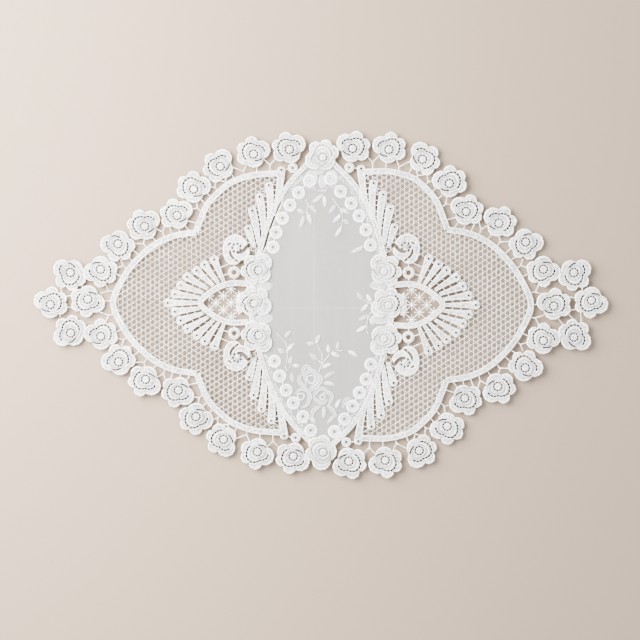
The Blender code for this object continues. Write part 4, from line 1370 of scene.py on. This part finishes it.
@dataclass
class TipRosettes:
    """The two roses sewn over the points of the panel."""

    rose: Rose = field(default_factory=Rose)
    strength: Strength = Strength(heart=(0.4, 0.4), slit=(0.27, 0.27))
    # Each rosette: its CAD node, middle, and the direction of the notch.
    spots: tuple[tuple[str, float, float, float], ...] = (
        ("tip_rosette_top", 1.5, 115.8, 150), ("tip_rosette_bottom", 1.7, -115.6, -150))

    def build(self) -> None:
        """Build both, each for its own CAD node."""
        for node, x, y, turn in self.spots:
            weaving = Weaving(f"{node}_lace")
            self.rose.add(weaving, np.array([(x, y)]), np.array([turn]), np.array([1]), lift=0.3,
                          strength=self.strength)
            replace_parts(weaving.make(SATIN), node)


# ---------------------------------------------------------------------------------------------
# Finishes


NUMBER, VECTOR, COLOUR = "NodeSocketFloat", "NodeSocketVector", "NodeSocketColor"


@dataclass(frozen=True)
class Graph:
    """Adds nodes to a node tree and wires them."""

    tree: bpy.types.NodeTree

    def give(self, socket: bpy.types.NodeSocket, value: object) -> None:
        """Wire an input or set it.

        Args:
            socket: the input.
            value: a socket to wire it from, a value, or None to leave it alone.
        """
        if isinstance(value, bpy.types.NodeSocket):
            self.tree.links.new(value, socket)
        elif value is not None:
            socket.default_value = value

    def node(self, kind: str, *inputs: object, **settings: object) -> bpy.types.Node:
        """Add a node and give it its inputs in order.

        Args:
            kind: the node's type.
            inputs: a socket, a value or None for each input.
            settings: the node's own settings.

        Returns:
            The node.
        """
        node = self.tree.nodes.new(kind)
        for name, value in settings.items():
            setattr(node, name, value)
        for socket, value in zip(node.inputs, inputs):
            self.give(socket, value)
        return node

    def add(self, kind: str, *inputs: object, out: int | str = 0,
            **settings: object) -> bpy.types.NodeSocket:
        """Add a node and take one of its outputs.

        Args:
            kind: the node's type.
            inputs: a socket, a value or None for each input.
            out: the output wanted.
            settings: the node's own settings.

        Returns:
            The output socket.
        """
        return self.node(kind, *inputs, **settings).outputs[out]

    def group(self, tree: bpy.types.NodeTree, **inputs: object) -> dict[str, bpy.types.NodeSocket]:
        """Place a shared group and give it its inputs by name.

        Args:
            tree: the group.
            inputs: a socket or a value for each input named.

        Returns:
            Its outputs by name.
        """
        node = self.node("ShaderNodeGroup", node_tree=tree)
        for name, value in inputs.items():
            self.give(node.inputs[name], value)
        return {socket.name: socket for socket in node.outputs}

    def maths(self, operation: str, *inputs: object) -> bpy.types.NodeSocket:
        """Work out a Math node's operation on its inputs."""
        return self.add("ShaderNodeMath", *inputs, operation=operation)

    def between(self, value: object, low: float, high: float) -> bpy.types.NodeSocket:
        """Step a value smoothly from 0 at low to 1 at high."""
        return self.add("ShaderNodeMapRange", value, low, high, 0.0, 1.0,
                        interpolation_type="SMOOTHSTEP")

    def blend(self, share: object, first: object, second: object) -> bpy.types.NodeSocket:
        """Blend two colours with a Mix node, whose colours are inputs 6 and 7 and output 2.

        Args:
            share: how much of the second colour, from 0 to 1.
            first: the first colour.
            second: the second colour.

        Returns:
            The blended colour.
        """
        node = self.node("ShaderNodeMix", data_type="RGBA")
        for index, value in ((0, share), (6, first), (7, second)):
            self.give(node.inputs[index], value)
        return node.outputs[2]


def shared_group(name: str, inputs: dict[str, str],
                 outputs: dict[str, str]) -> tuple[bpy.types.NodeTree, bool]:
    """Find or start a shared node group.

    Args:
        name: the group's name.
        inputs: socket types by name.
        outputs: socket types by name.

    Returns:
        The group, and whether it is new and has still to be filled.
    """
    old = bpy.data.node_groups.get(name)
    if old:
        return old, False
    tree = bpy.data.node_groups.new(name, "ShaderNodeTree")
    for way, sockets in (("INPUT", inputs), ("OUTPUT", outputs)):
        for label, kind in sockets.items():
            tree.interface.new_socket(label, in_out=way, socket_type=kind)
    return tree, True


def stitch_group() -> bpy.types.NodeTree:
    """Make the thread lines that the thread finishes share.

    Their height is a sine of the length over the pitch, broken up by fine noise. The shade is
    lowest in the grooves between threads, where the finishes paint shade, and adds bundles of
    thread, a noise drawn out along the stitch.

    Returns:
        The group.
    """
    tree, new = shared_group("stitch_lines", {"Stitch": VECTOR, "Pitch": NUMBER, "Twist": NUMBER},
                             {"Height": NUMBER, "Shade": NUMBER})
    if new:
        graph = Graph(tree)
        given = graph.node("NodeGroupInput").outputs
        taken = graph.node("NodeGroupOutput").inputs
        across, length = graph.node("ShaderNodeSeparateXYZ", given["Stitch"]).outputs[:2]
        turns = graph.maths("DIVIDE", length, given["Pitch"])
        turns = graph.maths("ADD", turns, graph.maths("MULTIPLY", across, given["Twist"]))
        place = graph.add("ShaderNodeTexCoord", out="Object")
        fuzz = graph.add("ShaderNodeTexNoise", place, None, 900.0, 3.0, 0.6)
        turns = graph.maths("ADD", turns, graph.maths("MULTIPLY", fuzz, 0.5))
        wave = graph.maths("SINE", graph.maths("MULTIPLY", turns, 2 * pi))
        height = graph.maths("ADD", graph.maths("MULTIPLY_ADD", wave, 0.35, 0.5), fuzz)
        graph.give(taken["Height"], height)
        bundle = graph.add("ShaderNodeCombineXYZ", graph.maths("MULTIPLY", across, 2.5),
                           graph.maths("MULTIPLY", length, 1.2), 0.0)
        streak = graph.add("ShaderNodeTexNoise", bundle, None, 1.0, 2.0, 0.6)
        both = graph.maths("MULTIPLY_ADD", streak, 1.1, graph.maths("MULTIPLY", height, 0.4))
        graph.give(taken["Shade"], graph.between(both, 0.65, 1.25))
    return tree


def slit_group() -> bpy.types.NodeTree:
    """Make the slits bridged by stitches that the thread finishes share.

    The mask, where the painted shadow of an opening shows, is the pit's profile times a window on
    the fraction of the dash count. The painted highlight of the rims and the painted shade pass
    through.

    Returns:
        The group.
    """
    tree, new = shared_group("slit_dashes", {"Stitch": VECTOR, "Tone": COLOUR},
                             {"Mask": NUMBER, "Rim_Highlight": NUMBER, "Shade": NUMBER})
    if new:
        graph = Graph(tree)
        given = graph.node("NodeGroupInput").outputs
        taken = graph.node("NodeGroupOutput").inputs
        pit_shadow, rim, shade = graph.node("ShaderNodeSeparateColor", given["Tone"]).outputs[:3]
        count = graph.add("ShaderNodeSeparateXYZ", given["Stitch"])
        fraction = graph.maths("FRACT", count)
        off = graph.maths("ABSOLUTE", graph.maths("SUBTRACT", fraction, MID_DASH))
        dash = graph.maths("SUBTRACT", 1.0, graph.between(off, 0.36, 0.41))
        graph.give(taken["Mask"], graph.maths("MULTIPLY", graph.between(pit_shadow, 0.15, 0.6), dash))
        graph.give(taken["Rim_Highlight"], rim)
        graph.give(taken["Shade"], shade)
    return tree


def mottle_group() -> bpy.types.NodeTree:
    """Make the cloudy mottling, lighter and darker at random, that all finishes share.

    It is a quarter broad and three quarters fine cloudy noise, on the doily's own coordinates.

    Returns:
        The group.
    """
    tree, new = shared_group("uneven_cloth", {"Size": NUMBER}, {"Shade": NUMBER})
    if new:
        graph = Graph(tree)
        size = graph.add("NodeGroupInput", out="Size")
        taken = graph.node("NodeGroupOutput").inputs
        place = graph.add("ShaderNodeTexCoord", out="Object")
        broad = graph.add("ShaderNodeTexNoise", place, None, size, 2.0, 0.5)
        small = graph.maths("MULTIPLY", size, 15.0)
        fine = graph.add("ShaderNodeTexNoise", place, None, small, 2.0, 0.7)
        both = graph.maths("MULTIPLY_ADD", broad, 0.25, graph.maths("MULTIPLY", fine, 0.75))
        graph.give(taken["Shade"], graph.between(both, 0.4, 0.6))
    return tree


def start_material(name: str) -> tuple[bpy.types.Material, Graph, bpy.types.Node]:
    """Start a node material.

    Args:
        name: the material's name.

    Returns:
        The material, its graph and its Principled shader.
    """
    material = bpy.data.materials.new(name)
    material.use_nodes = True
    return material, Graph(material.node_tree), material.node_tree.nodes["Principled BSDF"]


def scaled(colour: Colour, share: float) -> Colour:
    """A colour made dimmer or lighter by a share, up to full."""
    return (*(min(1.0, value * share) for value in colour[:3]), 1.0)


@dataclass(frozen=True)
class ThreadFinish:
    """White lace thread, in satin stitch or twisted."""

    name: str
    base: Colour
    # rim is a painted highlight; pit is the painted shadow in open slits and holes.
    rim: Colour
    pit_shadow: Colour
    pitch: float
    twist: float
    relief: float
    roughness: float = 0.72
    sheen: float = 0.06
    shine: float = 0.12
    cloud_size: float = 40.0
    # Shares of the base colour: darkest and lightest mottling, painted shade between rims, and
    # painted shade in the grooves between threads.
    dull: float = 0.42
    bright: float = 1.75
    sunken_shade: float = 0.5
    gap: float = 0.6

    def material(self) -> bpy.types.Material:
        """Find the finish's material, or make it.

        Returns:
            The material.
        """
        old = bpy.data.materials.get(self.name)
        if old:
            return old
        material, graph, shader = start_material(self.name)
        stitch = graph.add("ShaderNodeUVMap", uv_map="stitch")
        tone = graph.add("ShaderNodeVertexColor", layer_name="tone")
        lines = graph.group(stitch_group(), Stitch=stitch, Pitch=self.pitch, Twist=self.twist)
        slits = graph.group(slit_group(), Stitch=stitch, Tone=tone)
        cloud = graph.group(mottle_group(), Size=self.cloud_size)
        # Cloudy mottling, lighter and darker at random.
        colour = graph.blend(cloud["Shade"], scaled(self.base, self.dull),
                             scaled(self.base, self.bright))
        # Painted highlight on the rims, in warm cream.
        colour = graph.blend(slits["Rim_Highlight"], colour, self.rim)
        # Painted shade in folds, creases, grooves and holes, and a dimmer tone on some embroidery.
        colour = graph.blend(slits["Shade"], colour, scaled(self.base, self.sunken_shade))
        # Painted shade in the grooves between threads, broken up along bundles of thread.
        colour = graph.blend(graph.maths("MULTIPLY_ADD", lines["Shade"], -0.6, 0.6), colour,
                             scaled(self.base, self.gap))
        # Painted shadow in the open dashes of slits and in holes.
        colour = graph.blend(slits["Mask"], colour, self.pit_shadow)
        graph.give(shader.inputs["Base Color"], colour)
        sunk = graph.maths("MULTIPLY", slits["Mask"], 2.0)
        height = graph.maths("SUBTRACT", lines["Height"], sunk)
        bump = graph.add("ShaderNodeBump", 1.0, self.relief * MM, None, height)
        graph.give(shader.inputs["Normal"], bump)
        rough = graph.add("ShaderNodeMapRange", lines["Shade"], 0.0, 1.0,
                          self.roughness + 0.08, self.roughness - 0.04)
        graph.give(shader.inputs["Roughness"], rough)
        shader.inputs["Specular IOR Level"].default_value = self.shine
        shader.inputs["Sheen Weight"].default_value = self.sheen
        shader.inputs["Sheen Roughness"].default_value = 0.5
        return material


@dataclass(frozen=True)
class SheerFinish:
    """Sheer white organza: a fine plain weave that lets the table through, pressed in quarters."""

    name: str
    base: Colour
    cover: float
    pitch: float
    roughness: float = 0.5
    sheen: float = 0.3
    cloud_size: float = 18.0
    # Where the pressed folds lie along x and along y, and how wide they are.
    folds: tuple[float, float] = (-5.5, -2.4)
    fold_width: float = 1.5

    def material(self) -> bpy.types.Material:
        """Find the finish's material, or make it.

        The weave is the greater of a sine along x and one along y. It raises the thread and
        makes the cloth less sheer.

        Returns:
            The material.
        """
        old = bpy.data.materials.get(self.name)
        if old:
            return old
        material, graph, shader = start_material(self.name)
        place = graph.add("ShaderNodeTexCoord", out="Object")
        axes = graph.node("ShaderNodeSeparateXYZ", place).outputs[:2]
        rate = 2 * pi / (self.pitch * MM)
        threads = [graph.maths("SINE", graph.maths("MULTIPLY", axis, rate)) for axis in axes]
        weave = graph.maths("MULTIPLY_ADD", graph.maths("MAXIMUM", *threads), 0.5, 0.5)
        stretched = graph.add("ShaderNodeMapping", place, None, None, (55.0, 5.0, 1.0))
        crease = graph.add("ShaderNodeTexNoise", stretched, None, 1.0, 2.0, 0.5)
        cloud = graph.group(mottle_group(), Size=self.cloud_size)
        low = scaled(self.base, 0.92)
        colour = graph.blend(graph.between(crease, 0.35, 0.65), low, self.base)
        colour = graph.blend(graph.maths("MULTIPLY", cloud["Shade"], 0.25), colour, low)
        lines = []
        for axis, fold in zip(axes, self.folds):
            off = graph.maths("ABSOLUTE", graph.maths("SUBTRACT", axis, fold * MM))
            flat = graph.between(off, 0.0, self.fold_width * MM)
            lines.append(graph.maths("SUBTRACT", 1.0, flat))
        pressed = graph.maths("MULTIPLY", graph.maths("MAXIMUM", *lines), 0.6)
        colour = graph.blend(pressed, colour, scaled(self.base, 1.25))
        graph.give(shader.inputs["Base Color"], colour)
        cover = graph.maths("MULTIPLY_ADD", weave, 0.16, self.cover - 0.08)
        cover = graph.maths("ADD", cover, graph.maths("MULTIPLY_ADD", crease, 0.12, -0.06))
        graph.give(shader.inputs["Alpha"], cover)
        height = graph.maths("ADD", graph.maths("MULTIPLY", weave, 0.25),
                             graph.maths("MULTIPLY", crease, 4.0))
        bump = graph.add("ShaderNodeBump", 1.0, 0.1 * MM, None, height)
        graph.give(shader.inputs["Normal"], bump)
        shader.inputs["Roughness"].default_value = self.roughness
        shader.inputs["Sheen Weight"].default_value = self.sheen
        return material


WHITE: Colour = (0.41, 0.401, 0.401, 1.0)
# Painted highlight for the rims: a warm cream.
RIM_HIGHLIGHT: Colour = (0.98, 0.90, 0.80, 1.0)
# Pit colours are painted shadow: near black in open slits and holes, brown in the scroll's slits.
SATIN = ThreadFinish("satin_stitched_thread", WHITE, RIM_HIGHLIGHT, (0.014, 0.013, 0.012, 1.0),
                     pitch=0.42, twist=0.0, relief=0.10)
SCROLLED = ThreadFinish("scrolled_satin_stitch", WHITE, RIM_HIGHLIGHT, (0.08, 0.06, 0.047, 1.0),
                        pitch=0.42, twist=0.0, relief=0.10)
TWIST = ThreadFinish("twisted_thread", (0.94, 0.85, 0.75, 1.0), RIM_HIGHLIGHT,
                     (0.03, 0.024, 0.02, 1.0), pitch=0.9, twist=1.0, relief=0.12)
# Its rim colour is a painted highlight and its pit colour the painted shadow in the ring holes.
EMBROIDERY = ThreadFinish("embroidery_thread", (0.50, 0.495, 0.484, 1.0),
                          (0.93, 0.91, 0.88, 1.0), (0.15, 0.14, 0.13, 1.0),
                          pitch=0.4, twist=0.0, relief=0.10)
SHEER = SheerFinish("sheer_organza", (0.255, 0.235, 0.215, 1.0), cover=0.45, pitch=0.35)


# ---------------------------------------------------------------------------------------------
# Studio


@dataclass
class Studio:
    """A pale table, soft light from the upper left and a camera straight above, in metres."""

    camera_height: float = 1.6
    sensor_width: float = 36.0
    view_width: float = 0.5036
    view_centre: tuple[float, float] = (-0.0008, -0.0118)
    table_reach: float = 3.0
    table: Colour = (0.207, 0.148, 0.103, 1.0)
    far_table_shade: Colour = (0.166, 0.118, 0.081, 1.0)
    lamp_place: tuple[float, float, float] = (-0.55, 0.28, 0.5)
    lamp_size: float = 0.7
    lamp_power: float = 86.0
    lamp_colour: tuple[float, float, float] = (1.0, 0.985, 0.96)
    air_colour: Colour = (0.86, 0.92, 1.0, 1.0)
    air_strength: float = 3.5

    def add_table(self) -> None:
        """The table top: a large cloudy plane.

        It dims along x from one colour to the other in a smooth step: painted shade, darker away
        from the lamp.
        """
        far = self.table_reach
        mesh = bpy.data.meshes.new("table_top")
        mesh.from_pydata([(-far, -far, 0), (far, -far, 0), (far, far, 0), (-far, far, 0)], [],
                         [(0, 1, 2, 3)])
        top = bpy.data.objects.new("table_top", mesh)
        bpy.context.scene.collection.objects.link(top)
        material, graph, shader = start_material("pale_table")
        place = graph.add("ShaderNodeTexCoord", out="Object")
        cloud = graph.add("ShaderNodeTexNoise", place, None, 3.0, 3.0, 0.5)
        across = graph.maths("MULTIPLY_ADD", cloud, 0.03, graph.add("ShaderNodeSeparateXYZ", place))
        # Painted shade: the table darkens towards +x, away from the lamp.
        colour = graph.blend(graph.between(across, -0.25, 0.28), self.table, self.far_table_shade)
        graph.give(shader.inputs["Base Color"], colour)
        shader.inputs["Roughness"].default_value = 0.9
        mesh.materials.append(material)

    def add_lamp(self) -> None:
        """The light: a square area lamp that faces the middle of the doily."""
        lamp = bpy.data.lights.new("window", "AREA")
        lamp.size, lamp.energy, lamp.color = self.lamp_size, self.lamp_power, self.lamp_colour
        light = bpy.data.objects.new("window", lamp)
        light.location = self.lamp_place
        direction = np.array(self.lamp_place) / -np.linalg.norm(self.lamp_place)
        light.rotation_euler = Vector(direction).to_track_quat("-Z", "Y").to_euler()
        bpy.context.scene.collection.objects.link(light)

    def add_air(self) -> None:
        """The surroundings: an even, faintly blue light from all round."""
        world = bpy.data.worlds.new("studio_air")
        world.use_nodes = True
        background = world.node_tree.nodes["Background"]
        background.inputs["Color"].default_value = self.air_colour
        background.inputs["Strength"].default_value = self.air_strength
        bpy.context.scene.world = world

    def add_camera(self) -> None:
        """The camera: straight down, with the view's width fixed by lens and height."""
        camera = bpy.data.cameras.new("camera")
        camera.sensor_width = self.sensor_width
        camera.lens = self.sensor_width * self.camera_height / self.view_width
        camera.clip_end = 20.0
        eye = bpy.data.objects.new("camera", camera)
        eye.location = (*self.view_centre, self.camera_height)
        bpy.context.scene.collection.objects.link(eye)
        bpy.context.scene.camera = eye

    def build(self) -> None:
        """Build the table, light, surroundings and camera."""
        self.add_table()
        self.add_lamp()
        self.add_air()
        self.add_camera()


def main() -> None:
    """Build every part in order."""
    logging.basicConfig(level=logging.INFO, format="%(name)s: %(message)s")
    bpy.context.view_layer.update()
    Studio().build()
    right, left = LaceWing(RIGHT), LaceWing(LEFT, net_pitch=(3.6, 4.45), net_rise=5.6)
    for lace in (right, left):
        lace.build()
    OrganzaPanel(right, left).build()
    TipRosettes().build()


if __name__ == "__main__":
    main()
